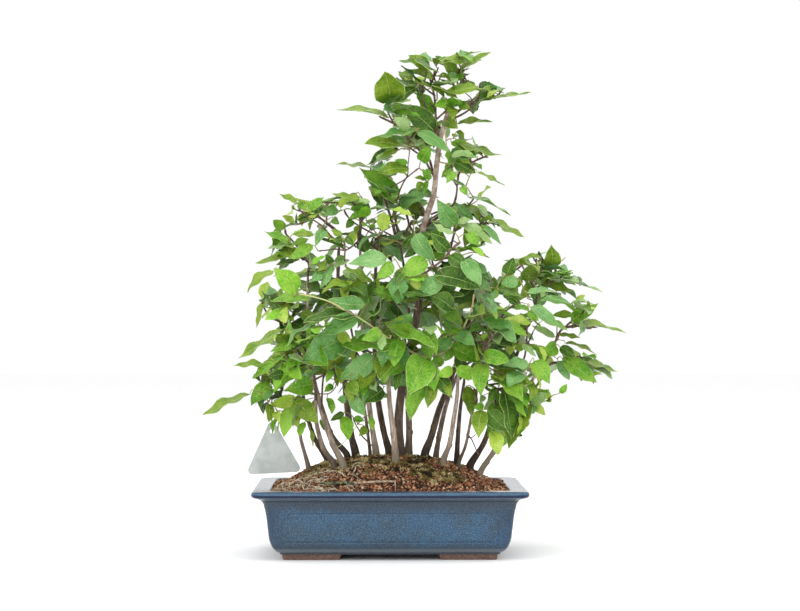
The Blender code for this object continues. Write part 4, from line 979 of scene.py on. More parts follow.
AIRY_RIGHT, AIRY_WIDTH, AIRY_MOST = 0.12, 0.08, 0.45
AIRY_SPACING, AIRY_LENGTH = 0.80, 0.16
LEADER_SPACING, TWIG_SPACING, SHOOT_SPACING = 0.0125, 0.0105, 0.0090
CARRIED_REACH = 0.0070
PETIOLE = 0.11

# Where the eye is, and what it sees in a picture of 800 by 611 pixels. The crown's edge is told by the
# pixels where its corners show, and each leading leaf by those of its root and tip, and its width.
EYE = np.array((-0.0182, -1.85, 0.2055))
EYE_YAW, EYE_PITCH = radians(0.852), radians(0.380)
LENS, SENSOR = 94.23, 36.0
PICTURE_WIDTH, PICTURE_HEIGHT = 800, 611
FOCUS = LENS / SENSOR * PICTURE_WIDTH
AHEAD = np.array((sin(EYE_YAW) * cos(EYE_PITCH), cos(EYE_YAW) * cos(EYE_PITCH), sin(EYE_PITCH)))
RIGHT = np.array((cos(EYE_YAW), -sin(EYE_YAW), 0.0))
UP = np.cross(RIGHT, AHEAD)
CROWN_EDGE = np.array((
    (404, 62), (420, 52), (446, 53), (490, 52), (494, 60), (470, 67), (478, 84), (504, 88), (508, 98),
    (484, 104), (476, 112), (484, 120), (472, 132), (478, 142), (496, 156), (480, 166), (498, 177),
    (500, 187), (480, 192), (492, 204), (486, 212), (506, 222), (508, 236), (492, 241), (500, 250),
    (508, 257), (521, 260), (526, 254), (540, 252), (542, 242), (556, 245), (560, 262), (574, 272), (588, 284), (578, 297),
    (594, 307), (590, 317), (608, 326), (580, 336), (584, 346), (596, 357), (606, 367), (608, 377),
    (588, 379), (568, 386), (558, 396), (546, 409), (532, 413), (528, 426), (520, 440), (506, 450),
    (494, 456), (482, 440), (474, 432), (466, 411), (458, 386), (444, 397), (428, 405), (410, 420),
    (396, 404), (386, 393), (372, 401), (364, 418), (350, 424), (346, 437), (334, 430), (318, 427),
    (302, 431), (286, 437), (272, 440), (266, 424), (258, 408), (246, 398), (254, 382), (238, 370),
    (248, 358), (252, 345), (262, 334), (257, 316), (262, 304), (253, 290), (258, 276), (266, 262),
    (275, 250), (268, 236), (278, 228), (280, 216), (291, 208), (289, 197), (310, 199), (330, 197),
    (342, 196), (358, 192), (358, 172), (370, 162), (378, 150), (368, 140), (392, 131), (392, 121),
    (376, 117), (382, 105), (376, 91), (380, 77), (392, 71),
))
LEADING_LEAVES = {
    "leaves_deep": (
        (416, 88, 394, 107, 13), (429, 67, 398, 63, 6), (455, 162, 476, 174, 14), (299, 260, 276, 266, 4),
        (434, 275, 480, 288, 20), (453, 309, 428, 295, 15), (504, 389, 511, 439, 17),
        (383, 389, 364, 402, 16), (499, 290, 523, 299, 9), (284, 374, 268, 376, 11),
        (434, 131, 399, 105, 25), (356, 315, 302, 322, 12), (488, 411, 508, 430, 15),
        (416, 296, 465, 294, 11), (418, 85, 400, 82, 6), (433, 132, 418, 129, 6), (323, 206, 311, 212, 7),
        (290, 247, 277, 252, 6), (346, 238, 355, 247, 9), (333, 218, 340, 225, 8),
        (402, 273, 395, 284, 10), (405, 246, 412, 235, 9), (448, 250, 430, 233, 17),
        (449, 256, 468, 270, 12), (507, 274, 513, 257, 13), (560, 347, 575, 358, 11),
        (344, 413, 331, 421, 7), (399, 371, 396, 391, 9), (434, 374, 452, 399, 16),
        (497, 388, 487, 405, 11), (352, 220, 346, 229, 7), (342, 238, 333, 241, 7),
        (331, 263, 326, 254, 8), (345, 257, 333, 263, 6), (325, 270, 314, 273, 5), (509, 299, 519, 305, 7),
        (509, 359, 498, 347, 9), (418, 249, 404, 258, 9),
    ),
    "leaves_olive": (
        (373, 168, 336, 164, 3), (457, 124, 493, 123, 8), (457, 142, 501, 158, 9), (314, 235, 292, 236, 6),
        (290, 256, 257, 267, 6), (265, 301, 259, 328, 8), (284, 329, 240, 360, 5), (263, 365, 233, 368, 9),
        (550, 269, 549, 243, 19), (541, 257, 520, 261, 6), (531, 404, 509, 450, 14),
        (585, 362, 616, 374, 7), (354, 382, 353, 405, 10), (434, 384, 428, 408, 13),
        (391, 103, 384, 72, 27), (401, 146, 364, 145, 10), (360, 199, 332, 195, 9), (434, 79, 407, 72, 12),
        (409, 169, 378, 175, 14), (428, 69, 408, 57, 15), (470, 60, 433, 63, 11), (478, 87, 444, 94, 11),
        (446, 120, 458, 131, 14), (397, 151, 379, 160, 8), (297, 202, 279, 195, 7),
        (528, 281, 528, 263, 15), (572, 323, 626, 333, 9), (454, 73, 443, 61, 11), (459, 103, 471, 109, 8),
        (457, 131, 464, 139, 5), (480, 221, 465, 203, 8), (480, 222, 496, 219, 5), (489, 219, 522, 240, 5),
        (455, 227, 431, 221, 4), (549, 283, 571, 292, 9), (573, 315, 552, 317, 6), (559, 335, 580, 339, 5),
        (565, 343, 597, 356, 5), (373, 284, 343, 267, 8), (479, 100, 531, 94, 9), (338, 362, 341, 385, 12),
        (349, 382, 359, 397, 12), (366, 427, 359, 436, 8), (466, 386, 471, 416, 12),
        (427, 181, 414, 178, 4), (453, 168, 441, 178, 8), (432, 139, 414, 146, 4), (268, 403, 269, 423, 7),
        (342, 236, 330, 230, 6), (358, 226, 355, 235, 6), (326, 262, 318, 272, 7), (524, 348, 511, 343, 8),
        (482, 410, 478, 438, 18), (448, 383, 450, 397, 9), (250, 394, 204, 416, 5),
        (293, 401, 319, 424, 18), (389, 118, 337, 112, 8), (477, 172, 504, 187, 6), (460, 71, 492, 55, 8),
        (274, 271, 247, 294, 11), (424, 183, 416, 192, 6), (460, 157, 470, 164, 7),
    ),
    "leaves_cool": (
        (336, 207, 324, 217, 11), (387, 258, 348, 265, 18), (415, 234, 435, 262, 19),
        (398, 207, 429, 195, 13), (456, 225, 436, 199, 20), (442, 279, 418, 297, 16),
        (366, 305, 328, 301, 17), (357, 317, 323, 335, 19), (374, 356, 340, 378, 22),
        (463, 259, 482, 288, 16), (483, 320, 516, 343, 13), (530, 307, 557, 328, 13),
        (551, 278, 602, 293, 8), (457, 79, 443, 77, 9), (416, 131, 379, 139, 8), (417, 132, 447, 154, 12),
        (327, 230, 316, 247, 10), (459, 207, 474, 221, 11), (480, 226, 500, 246, 9),
        (518, 281, 500, 284, 10), (324, 273, 310, 283, 8), (333, 264, 322, 289, 9),
        (342, 339, 300, 363, 28), (351, 395, 366, 416, 14), (347, 399, 337, 399, 7),
        (452, 156, 478, 159, 8), (558, 361, 569, 380, 12), (529, 364, 502, 366, 11),
        (468, 197, 510, 218, 6), (570, 304, 539, 300, 7), (527, 293, 556, 292, 8),
    ),
    "leaves_sage": (
        (458, 225, 491, 246, 10), (410, 128, 394, 119, 13), (414, 146, 432, 140, 5),
        (451, 156, 478, 159, 9), (370, 202, 353, 202, 7), (289, 244, 268, 249, 3), (487, 216, 477, 204, 5),
        (457, 223, 472, 220, 6), (453, 233, 432, 225, 5), (571, 303, 594, 304, 4), (555, 337, 531, 326, 9),
        (545, 322, 568, 331, 6), (586, 363, 612, 380, 8), (494, 427, 503, 432, 6),
        (531, 403, 547, 392, 12), (484, 396, 479, 404, 6), (347, 262, 334, 268, 7),
        (343, 271, 356, 281, 8), (522, 344, 536, 357, 8),
    ),
    "leaves_fresh": (
        (451, 142, 478, 160, 13), (313, 245, 290, 260, 13), (310, 300, 270, 303, 9),
        (400, 344, 341, 346, 13), (388, 327, 436, 349, 16), (285, 228, 273, 220, 9),
        (292, 244, 264, 234, 7), (275, 363, 254, 380, 11), (296, 345, 271, 353, 11),
        (441, 310, 463, 328, 12), (571, 321, 599, 305, 13), (270, 383, 250, 407, 16),
        (425, 382, 409, 421, 18), (392, 262, 377, 279, 13), (451, 346, 481, 363, 16),
        (483, 355, 510, 361, 15), (483, 364, 480, 396, 21), (380, 330, 361, 340, 13),
        (395, 299, 367, 291, 12), (562, 358, 595, 384, 17), (459, 80, 464, 74, 7), (433, 115, 416, 93, 11),
        (408, 163, 394, 160, 7), (453, 173, 442, 175, 9), (431, 179, 422, 169, 8), (461, 187, 468, 197, 7),
        (301, 209, 304, 201, 8), (308, 209, 325, 198, 9), (351, 287, 326, 290, 5),
        (397, 204, 357, 171, 17), (466, 234, 480, 246, 9), (549, 275, 573, 272, 5),
        (529, 310, 507, 309, 7), (376, 359, 385, 385, 14), (333, 385, 324, 392, 8),
        (327, 398, 332, 415, 8), (354, 418, 365, 421, 6), (320, 420, 324, 431, 6),
        (403, 365, 388, 375, 12), (444, 360, 428, 366, 11), (484, 406, 472, 407, 8),
        (428, 181, 424, 195, 6), (456, 172, 446, 184, 8), (448, 148, 449, 167, 6), (430, 170, 423, 176, 6),
        (313, 384, 284, 390, 17), (534, 361, 549, 384, 17), (556, 345, 539, 354, 13),
        (362, 214, 349, 220, 7), (295, 244, 309, 239, 8), (528, 311, 539, 321, 8),
        (424, 358, 407, 396, 26), (452, 350, 444, 362, 8), (421, 161, 431, 146, 14),
        (427, 260, 400, 277, 17),
    ),
    "leaves_bright": (
        (297, 291, 274, 268, 20), (282, 310, 265, 320, 11), (294, 405, 284, 437, 18),
        (452, 368, 436, 376, 12), (560, 393, 567, 384, 6), (450, 103, 434, 106, 8),
        (293, 234, 313, 232, 7), (484, 256, 471, 247, 6), (503, 321, 526, 338, 10),
        (342, 416, 347, 440, 11), (295, 357, 286, 369, 9), (333, 371, 326, 383, 8),
        (371, 416, 372, 431, 5), (305, 422, 299, 438, 6), (456, 368, 478, 379, 12),
        (288, 346, 272, 356, 9), (312, 264, 327, 256, 6),
    ),
    "leaves_young": (
        (412, 216, 390, 210, 6), (284, 323, 288, 306, 9), (492, 431, 498, 456, 13),
        (533, 405, 545, 415, 10), (576, 302, 585, 295, 6), (532, 322, 502, 320, 8),
        (377, 291, 377, 275, 5), (310, 429, 312, 448, 4), (296, 399, 269, 404, 16),
    ),
}
# The pixels where the photograph shows bare stems and trunk
WOOD_SHOWS = (
    (444, 120), (442, 130), (438, 148), (437, 157), (436, 167), (434, 178), (434, 190), (430, 204), (427, 214),
    (422, 222), (423, 300), (420, 322), (401, 396), (400, 408), (398, 425), (311, 371), (314, 382), (318, 394),
    (322, 407), (327, 421), (344, 386), (344, 398), (346, 412), (348, 427), (372, 402), (374, 414), (376, 430),
    (377, 402), (381, 414), (386, 428), (389, 380), (389, 392), (391, 408), (392, 424), (408, 425), (409, 440),
    (443, 394), (440, 404), (435, 420), (448, 400), (443, 414), (459, 382), (458, 396), (455, 412), (451, 428),
    (461, 390), (458, 410), (457, 430), (471, 420), (468, 430), (310, 428), (314, 436), (319, 430), (302, 428),
    (301, 440), (404, 275), (405, 290), (402, 255), (481, 436), (484, 440),
)
# Circles of pixels where it shows the sky through the crown, each by its middle and radius
SKY_SHOWS = np.array((
    (429, 81, 3), (442, 71, 3), (461, 64, 3), (432, 95, 4), (463, 98, 3), (466, 116, 5), (437, 115, 3),
    (459, 128, 3), (467, 133, 4), (402, 152, 4), (412, 157, 3), (391, 166, 4), (430, 156, 3), (416, 175, 5),
    (413, 186, 5), (448, 194, 6), (470, 185, 6), (473, 191, 5), (461, 199, 3), (472, 203, 4), (490, 210, 5),
    (435, 213, 3), (446, 220, 3), (459, 230, 2), (448, 236, 3), (463, 255, 4), (476, 259, 4), (477, 224, 3),
    (496, 271, 6), (520, 270, 3), (503, 304, 4), (533, 281, 2), (549, 309, 4), (556, 312, 4), (565, 321, 5),
    (542, 338, 6), (548, 338, 5), (549, 329, 3), (558, 355, 4), (531, 360, 3), (518, 354, 3), (560, 374, 4),
    (579, 380, 6), (543, 379, 3), (302, 211, 3), (292, 230, 3), (316, 226, 3), (306, 238, 7), (323, 223, 3),
    (340, 255, 6), (322, 250, 5), (276, 262, 3), (271, 267, 3), (300, 263, 4), (340, 271, 4), (373, 218, 4),
    (365, 236, 3), (356, 255, 3), (389, 232, 3), (404, 228, 4), (389, 280, 5), (317, 283, 3), (333, 340, 2),
    (580, 352, 4), (589, 347, 5), (556, 382, 4), (262, 349, 6), (276, 325, 4), (254, 312, 4), (484, 159, 4),
    (482, 181, 4), (371, 157, 4), (358, 186, 5), (399, 183, 4), (496, 231, 4), (460, 190, 4), (455, 189, 4),
    (270, 345, 5), (268, 355, 4), (266, 337, 3), (267, 326, 4), (272, 351, 3), (514, 444, 4), (509, 448, 3),
))
# Bare twigs and pale young shoots seen between the leaves, each by its two radii and its route's pixels
BARE_TWIGS = (
    (0.0011, 0.0006, (436, 134), (431, 122), (428, 112), (424, 103), (421, 92), (424, 84), (426, 74), (427, 62)),
    (0.0006, 0.0005, (437, 100), (437, 88), (439, 80), (441, 76)),
    (0.0008, 0.0008, (436, 84), (434, 76), (435, 70)),
    (0.0011, 0.0005, (449, 120), (459, 116), (466, 112), (471, 108), (476, 104), (479, 98), (480, 84)),
    (0.0005, 0.0004, (475, 104), (470, 97), (465, 93), (461, 92)),
    (0.0008, 0.0008, (453, 206), (456, 196), (457, 187), (454, 181), (452, 170), (451, 164)),
    (0.0008, 0.0005, (397, 200), (400, 190), (405, 180), (410, 175), (419, 168)),
    (0.0006, 0.0004, (406, 178), (408, 165), (409, 156), (410, 147)),
    (0.0016, 0.0009, (401, 240), (396, 236), (393, 225), (389, 212), (386, 203), (384, 195)),
    (0.0013, 0.0010, (402, 240), (405, 233), (409, 226), (413, 220)),
    (0.0010, 0.0006, (398, 243), (388, 241), (380, 237), (370, 232), (361, 227), (352, 221), (346, 214), (344, 209)),
    (0.0008, 0.0007, (357, 247), (359, 232), (362, 219)),
    (0.0005, 0.0004, (361, 246), (367, 234), (376, 221)),
    (0.0009, 0.0009, (381, 253), (381, 245), (381, 236)),
    (0.0008, 0.0007, (378, 248), (378, 241), (379, 235)),
    (0.0012, 0.0010, (423, 215), (421, 207), (420, 203)),
    (0.0009, 0.0006, (424, 229), (430, 220), (438, 214), (444, 209)),
    (0.0011, 0.0009, (450, 251), (453, 238), (456, 228)),
    (0.0006, 0.0005, (453, 241), (457, 243), (461, 242)),
    (0.0012, 0.0008, (424, 273), (433, 267), (440, 262), (453, 248), (460, 243)),
    (0.0010, 0.0007, (313, 268), (307, 260), (301, 253), (296, 245), (290, 238), (286, 234), (285, 228)),
    (0.0009, 0.0005, (343, 248), (338, 242), (331, 236), (322, 226), (315, 221), (310, 218), (304, 214), (298, 208)),
    (0.0008, 0.0007, (345, 263), (345, 250), (344, 240)),
    (0.0007, 0.0005, (342, 250), (335, 249), (328, 250), (318, 251)),
    (0.0007, 0.0006, (308, 290), (308, 278), (308, 270)),
    (0.0012, 0.0007, (545, 361), (552, 350), (556, 340), (558, 334), (565, 327), (572, 321)),
    (0.0006, 0.0004, (557, 336), (557, 325)),
    (0.0009, 0.0008, (523, 360), (526, 348), (527, 332), (526, 320)),
    (0.0007, 0.0006, (527, 345), (530, 339), (533, 332)),
    (0.0014, 0.0012, (484, 352), (488, 343), (493, 333)),
    (0.0011, 0.0009, (498, 323), (503, 315), (507, 310), (515, 305)),
    (0.0009, 0.0008, (511, 273), (518, 264)),
    (0.0006, 0.0005, (483, 363), (490, 368), (503, 375)),
    (0.0006, 0.0004, (584, 362), (588, 370), (591, 378), (594, 384)),
    (0.0008, 0.0005, (370, 445), (367, 441), (362, 436), (359, 430), (356, 425), (353, 418)),
    (0.0006, 0.0005, (469, 436), (472, 440), (475, 447), (479, 456)),
    (0.0005, 0.0004, (471, 438), (476, 434)),
    (0.0008, 0.0005, (484, 440), (490, 432), (496, 425)),
    (0.0009, 0.0008, (325, 417), (322, 407), (322, 396), (323, 380), (325, 372)),
    (0.0005, 0.0004, (324, 394), (330, 393), (335, 388), (336, 382), (333, 375), (329, 371)),
    (0.0009, 0.0008, (475, 408), (477, 400), (474, 388)),
)
PALE_SHOOTS = (
    (0.0012, 0.0008, (447, 351), (436, 355), (424, 357), (414, 353), (407, 348), (402, 336), (400, 329)),
    (0.0009, 0.0005, (388, 338), (370, 325), (356, 316), (345, 310), (330, 302), (314, 297), (298, 294)),
    (0.0010, 0.0006, (460, 336), (467, 320), (472, 307), (474, 294)),
    (0.0007, 0.0005, (450, 163), (447, 150), (446, 140), (445, 131)),
    (0.0008, 0.0006, (527, 283), (534, 271), (541, 261)),
    (0.0008, 0.0004, (545, 277), (548, 270), (560, 262), (566, 257)),
    (0.0007, 0.0005, (571, 322), (576, 312), (577, 300)),
    (0.0009, 0.0007, (426, 70), (427, 60), (425, 51)),
    (0.0004, 0.0003, (341, 445), (351, 434), (358, 424)),
)
BARE_LEAN = 0.25
BUD_PLACE, BUD_SPREAD, BUD_SWELL = 0.93, 0.05, 0.5
NEARER_WOOD = 0.25
LONGEST_LEAF, LONGEST_STALK = 0.050, 0.008
HIDDEN_SPOTS = ((0.15, 0), (0.38, 0), (0.62, 0), (0.85, 0), (0.42, 0.6), (0.42, -0.6), (0.64, 0.6), (0.64, -0.6))
HIDING_DEPTH = 0.004
SKY_MARGIN = 1.0
FLATTENING = 0.8
BORNE_WITHIN = 0.0009
TAG_WIDTH, TAG_HEIGHT = 0.0504, 0.0493
# Where the tag's thread shows above its hole
THREAD_SHOWS = (
    (271, 414), (275, 414), (271, 420), (274, 420), (277, 420), (270, 426), (273, 426), (277, 427), (270, 431),
    (273, 431), (276, 432), (271, 436), (274, 436), (273, 417), (273, 423),
)
THREAD_FRONT = 0.008


def seen(points):
    """The pixels where points show, and how far they lie ahead of the eye."""
    away = points - EYE
    depth = away @ AHEAD
    across = PICTURE_WIDTH / 2 + FOCUS * (away @ RIGHT) / depth
    down = PICTURE_HEIGHT / 2 - FOCUS * (away @ UP) / depth
    return np.stack((across, down), axis=-1), depth


def sight(across, down):
    """The direction from the eye through a pixel."""
    return unit(AHEAD * FOCUS + RIGHT * (across - PICTURE_WIDTH / 2) + UP * (PICTURE_HEIGHT / 2 - down))


def within_edge(spots):
    """Whether each pixel lies within the crown's edge: a line from it to the right meets the edge an odd time."""
    start, end = CROWN_EDGE, np.roll(CROWN_EDGE, -1, axis=0)
    x, y = spots[:, :1], spots[:, 1:]
    spans = (start[:, 1] > y) != (end[:, 1] > y)
    meets = start[:, 0] + (y - start[:, 1]) * (end[:, 0] - start[:, 0]) / (end[:, 1] - start[:, 1])
    return (spans & (x < meets)).sum(axis=1) % 2 == 1


def leader_of(name):
    """A mass's stem: it leaves its limb smoothly, bends over to its tip and zigzags at each node."""
    parent, share, reach, _, leaf_length, _ = MASSES[name]
    zigzag = np.random.default_rng(SEED + 100 + list(MASSES).index(name))
    point, direction, radius = limbs[parent].at(share)
    tip = reach - unit(reach - point) * leaf_length * LEAF_PAST_LEADER
    if share < 1.0:
        direction = unit(direction + 1.6 * unit(tip - point))
        radius = LEADER_RADIUS
    start = meeting_point(limbs[parent], share, direction, radius)
    span = np.linalg.norm(tip - start)
    bend = start + direction * span * LEADER_BEND
    count = max(3, int(round(span / LEADER_STEP)))
    t = np.linspace(0, 1, count + 1)[:, None]
    points = (1 - t) ** 2 * start + 2 * t * (1 - t) * bend + t**2 * tip
    points[1] = start + direction * np.linalg.norm(points[1] - start)
    side = unit(np.cross(tip - start, zigzag.normal(size=3)))
    signs = (-1.0) ** np.arange(2, count)
    points[2:-1] += side * (signs * ZIGZAG * zigzag.uniform(0.6, 1.3, count - 2))[:, None]
    outside = np.nonzero(~within_edge(seen(points)[0]))[0]
    kept = max(4, outside[outside > 2][0]) if (outside > 2).any() else len(points)
    return Limb(points[:kept], np.linspace(min(radius, LEADER_RADIUS), TWIG_RADIUS, count + 1)[:kept])


def cells(leaders):
    """For each mass, the planes that bound its own space: between it and each other, and past its tip."""
    centres = {name: leader.at(CELL_CENTRE)[0] for name, leader in leaders.items()}
    found = {}
    for name, centre in centres.items():
        _, _, reach, size, _, _ = MASSES[name]
        planes = []
        for other, away in centres.items():
            if other == name:
                continue
            span = away - centre
            distance = np.linalg.norm(span)
            weight = size**2 - MASSES[other][3] ** 2
            offset = (away.dot(away) - centre.dot(centre) + weight) / (2 * distance)
            planes.append((*(span / distance), offset - CELL_MARGIN))
        onward = unit(reach - leaders[name].points[0])
        planes.append((*onward, onward.dot(reach)))
        found[name] = np.array(planes)
    return found


def inside(planes, points, slack=0.0):
    in_cell = (points @ planes[:, :3].T <= planes[:, 3] + slack).all()
    return bool(points[:, 2].min() > LOWEST_LEAF and in_cell and within_edge(seen(points)[0]).all())


def joined_beads(groups):
    points, radii = zip(*groups)
    return np.concatenate(points), np.concatenate(radii)


def side_twigs(leader, length, planes, beads, own, radius=TWIG_RADIUS, fewest=4):
    """Side twigs, left and right by turns, that stay in the cell and clear of the limbs."""
    found = []
    count = max(fewest, int(round(leader.along[-1] * (1 - BARE_START) / LEADER_STEP)) + 1)
    for k in range(count):
        share = BARE_START + (LAST_TWIG - BARE_START) * (k + own.uniform(0.1, 0.9)) / count
        point, direction, _ = leader.at(share)
        level = unit(np.cross((0, 0, 1), direction) + (1e-4, 0, 0))
        lift = np.cross(direction, level)
        for attempt in range(TRIES):
            turn = k * TWIG_TURN + own.uniform(-0.5, 0.5) * (1 + attempt)
            outwards = level * cos(turn) + lift * 0.6 * sin(turn)
            heading = unit(direction * 0.7 + unit(outwards))
            reach = length * (1.15 - 0.45 * share) * own.uniform(0.8, 1.1) * (1 - 0.08 * attempt)
            steps = np.linspace(0, 1, 3)[:, None]
            points = point + heading * reach * steps + np.array((0, 0, TWIG_RISE * reach)) * steps**2
            twig = Limb(points, np.linspace(radius, 0.8 * radius, len(points)))
            along, _ = twig.beads()
            spread = np.linalg.norm(along[:, None] - beads[0][None], axis=2) - beads[1] - radius
            if inside(planes, along) and spread.min() > GAP:
                found.append(twig)
                break
    return found


class Blade:
    """One leaf: its stalk's root, the root, axis, normal and length of its blade, and its shade."""

    def __init__(self, node, root, axis, normal, length, shade=None, flat=0.0):
        self.node, self.root, self.axis, self.length = node, root, axis, length
        self.shade, self.flat = shade, flat
        self.side = unit(np.cross(normal, axis))
        self.normal = np.cross(axis, self.side)

    def at(self, along, across):
        arch = LEAF_ARCH * 4 * along * (1 - along)
        width = min(along / LEAF_WIDEST, (1 - along) / (1 - LEAF_WIDEST)) * LEAF_WIDTH / 2
        return self.root + self.length * (
            self.axis * along + self.side * across * width + self.normal * arch
        )

    def corners(self):
        return np.array([self.at(LEAF_WIDEST, 1), self.at(LEAF_WIDEST, -1), self.at(1, 0)])

    def beads(self):
        shares = (0.25, 0.45, 0.65, 0.85)
        spots = [self.at(along, across) for along in shares for across in (-0.8, 0, 0.8)]
        return np.array(spots), np.full(len(spots), LEAF_BEAD)

    def touches(self, points, radii):
        """Whether any of the beads comes within a gap of the leaf."""
        away = points - self.root
        along, across, above = away @ self.axis, np.abs(away @ self.side), away @ self.normal
        past = np.clip(along / self.length, 0, 1)
        narrowing = np.minimum(past / LEAF_WIDEST, (1 - past) / (1 - LEAF_WIDEST))
        half = self.length * LEAF_WIDTH / 2 * narrowing
        level = LEAF_ARCH * self.length * 4 * past * (1 - past)
        near = radii + GAP
        beyond = (along > -near) & (along < self.length + near)
        return bool(np.any(beyond & (across < half + near) & (np.abs(above - level) < near)))

    def hides(self, spots, depth):
        """Whether the leaf, seen from the eye as a kite, stands before any of these pixels at this depth."""
        kite, away = seen(np.array([self.at(0, 0), self.at(LEAF_WIDEST, 1), self.at(1, 0), self.at(LEAF_WIDEST, -1)]))
        edge = np.roll(kite, -1, axis=0) - kite
        reach = spots[:, None] - kite
        turn = edge[:, 0] * reach[..., 1] - edge[:, 1] * reach[..., 0]
        covered = (turn > 0).all(axis=1) | (turn < 0).all(axis=1)
        return bool((covered & (away.mean() < depth - HIDING_DEPTH)).any())


def covers_sky(leaf):
    """Whether any of a leaf's beads shows over a circle of sky."""
    spots, _ = seen(leaf.beads()[0])
    apart = np.linalg.norm(spots[:, None] - SKY_SHOWS[None, :, :2], axis=2)
    return bool((apart < SKY_SHOWS[:, 2] + SKY_MARGIN).any())


def bearer_of(line, wood):
    """The piece of wood nearest a line of sight, one nearer the eye being preferred."""
    away = wood - EYE
    apart = np.linalg.norm(away - (away @ line)[:, None] * line, axis=1)
    return wood[np.argmin(apart + NEARER_WOOD * wood[:, 1])]


def bare_twig(row, wood):
    """A twig seen along the row's pixels, from the wood nearest its first one, leaning a little to the eye."""
    lines = np.array([sight(*pixel) for pixel in row[2:]])
    bearer = bearer_of(lines[0], wood)
    depth = (bearer - EYE) @ AHEAD
    strides = np.linalg.norm(np.diff(row[2:], axis=0), axis=1) * depth / FOCUS
    gone = np.concatenate(([0.0], np.cumsum(strides)))
    points = EYE + lines * ((depth - BARE_LEAN * gone) / (lines @ AHEAD))[:, None]
    if np.linalg.norm(points[0] - bearer) > 2 * row[0]:
        points = np.vstack((bearer, points))
    route = smooth_route(points, 0.0015)
    return Limb(route, np.linspace(*row[:2], len(route)))


def budded(limb):
    """The skin of a bare twig: it swells to a bud near its tip."""
    share = limb.along / limb.along[-1]
    swell = 1 + BUD_SWELL * np.exp(-(((share - BUD_PLACE) / BUD_SPREAD) ** 2))
    return sleeve(limb.points, limb.radii * swell * np.where(share == 1, 0.4, 1.0), 7)


def leading_leaf(row, shade, wood, beads):
    """A leaf seen where the row says, borne by the wood nearest its line of sight, and its shoot or None.

    Its length out of sight and its tilt follow from its seen length and width, and it turns its face
    up and to the eye. Of its tilts to the eye and away, the first that clears the limbs is kept.
    """
    line = sight(*row[:2])
    bearer = bearer_of(line, wood)
    root = EYE + line * (line @ (bearer - EYE))
    scale = (root - EYE) @ AHEAD / FOCUS
    span = (RIGHT * (row[2] - row[0]) + UP * (row[1] - row[3])) * scale
    shown = np.linalg.norm(span)
    length = max(shown * 1.01, min(row[4] * scale / LEAF_WIDTH, LONGEST_LEAF))
    crosswise = unit(np.cross(span, AHEAD))
    crosswise *= 1 if crosswise[2] > 0 else -1
    opened = min(1.0, row[4] * scale / (LEAF_WIDTH * length))
    for towards in (-1, 1, -0.5, 0.5):
        axis = unit(span + AHEAD * towards * sqrt(length**2 - shown**2))
        facing = np.cross(axis, crosswise)
        facing *= -np.sign(facing @ AHEAD)
        normal = facing * opened + crosswise * sqrt(1 - opened**2)
        node = root - unit(axis + (0, 0, -0.4)) * length * PETIOLE
        leaf = Blade(node, root, axis, normal, length, shade, FLATTENING * (1 - opened))
        near = np.linalg.norm(beads[0] - bearer, axis=1) > CARRIED_REACH
        if not leaf.touches(beads[0][near], beads[1][near]):
            break
    if np.linalg.norm(root - bearer) < LONGEST_STALK:
        leaf.node = bearer
        return leaf, None
    rise = np.array((0, 0, 0.15 * np.linalg.norm(node - bearer)))
    route = smooth_route((bearer, bearer + 0.5 * (node - bearer) + rise, node), 0.004)
    return leaf, Limb(route, np.linspace(SHOOT_RADIUS * 1.15, SHOOT_RADIUS * 0.8, len(route)))


def place_leaf(twig, share, side, length, hang, planes, beads, shown, own):
    """A leaf at this share of the twig, on its left or right, turned until it fits; None if it never does."""
    point, direction, _ = twig.at(share)
    outward = unit((point - CROWN_HEART) * (1, 1, 0.2) + (0, 0, 1e-4))
    level = unit(np.cross((0, 0, 1), direction) + 1e-3 * outward)
    away = np.linalg.norm(beads[0] - point, axis=1)
    near = (away > CARRIED_REACH) & (away < 1.6 * length)
    beads = beads[0][near], beads[1][near]
    for attempt in range(TRIES):
        turn = own.uniform(-0.5, 0.5) * (1 + 0.4 * attempt)
        fall = hang + own.uniform(-0.25, 0.25) * (1 + 0.2 * attempt)
        heading = direction * 0.6 + level * (side * cos(turn)) + outward * 0.15
        heading[2] += sin(turn) * 0.5
        axis = unit(unit(heading) * (1 - 0.6 * max(fall, 0)) - np.array((0, 0, 1.1 * fall)))
        facing = np.array((0, 0, 1.0 - 0.5 * hang)) + outward * (0.15 + 1.3 * max(fall, 0))
        normal = unit(facing + own.normal(size=3) * 0.36)
        size = length * own.uniform(0.74, 1.10) * (1 - 0.03 * attempt)
        stalk = unit(axis + unit(heading) + (0, 0, 0.25))
        leaf = Blade(point, point + stalk * size * PETIOLE, axis, normal, size * (1 - PETIOLE / 2))
        if not inside(planes, leaf.corners(), 0.0015) or covers_sky(leaf):
            continue
        if not leaf.touches(*beads) and not leaf.hides(*shown):
            return leaf
    return None


def leaves_of(bearers, leaf_length, hang, planes, beads, shown, own):
    """The leaves of each twig, by turns left and right, smaller towards its tip, each with its twig."""
    found = []
    for number, (twig, spacing, size) in enumerate(bearers):
        count = int(round(twig.along[-1] * 0.78 / spacing)) + 1
        for k, share in enumerate(np.linspace(0.24, 0.99, count + 1)):
            young = 0.72 if k == count and own.random() < 0.45 else 1.0
            length = leaf_length * size * (1.04 - 0.12 * share) * young
            leaf = place_leaf(twig, share, (-1) ** k, length, hang, planes, beads, shown, own)
            if leaf:
                found.append((number, leaf))
                beads = joined_beads([beads, leaf.beads()])
    return found


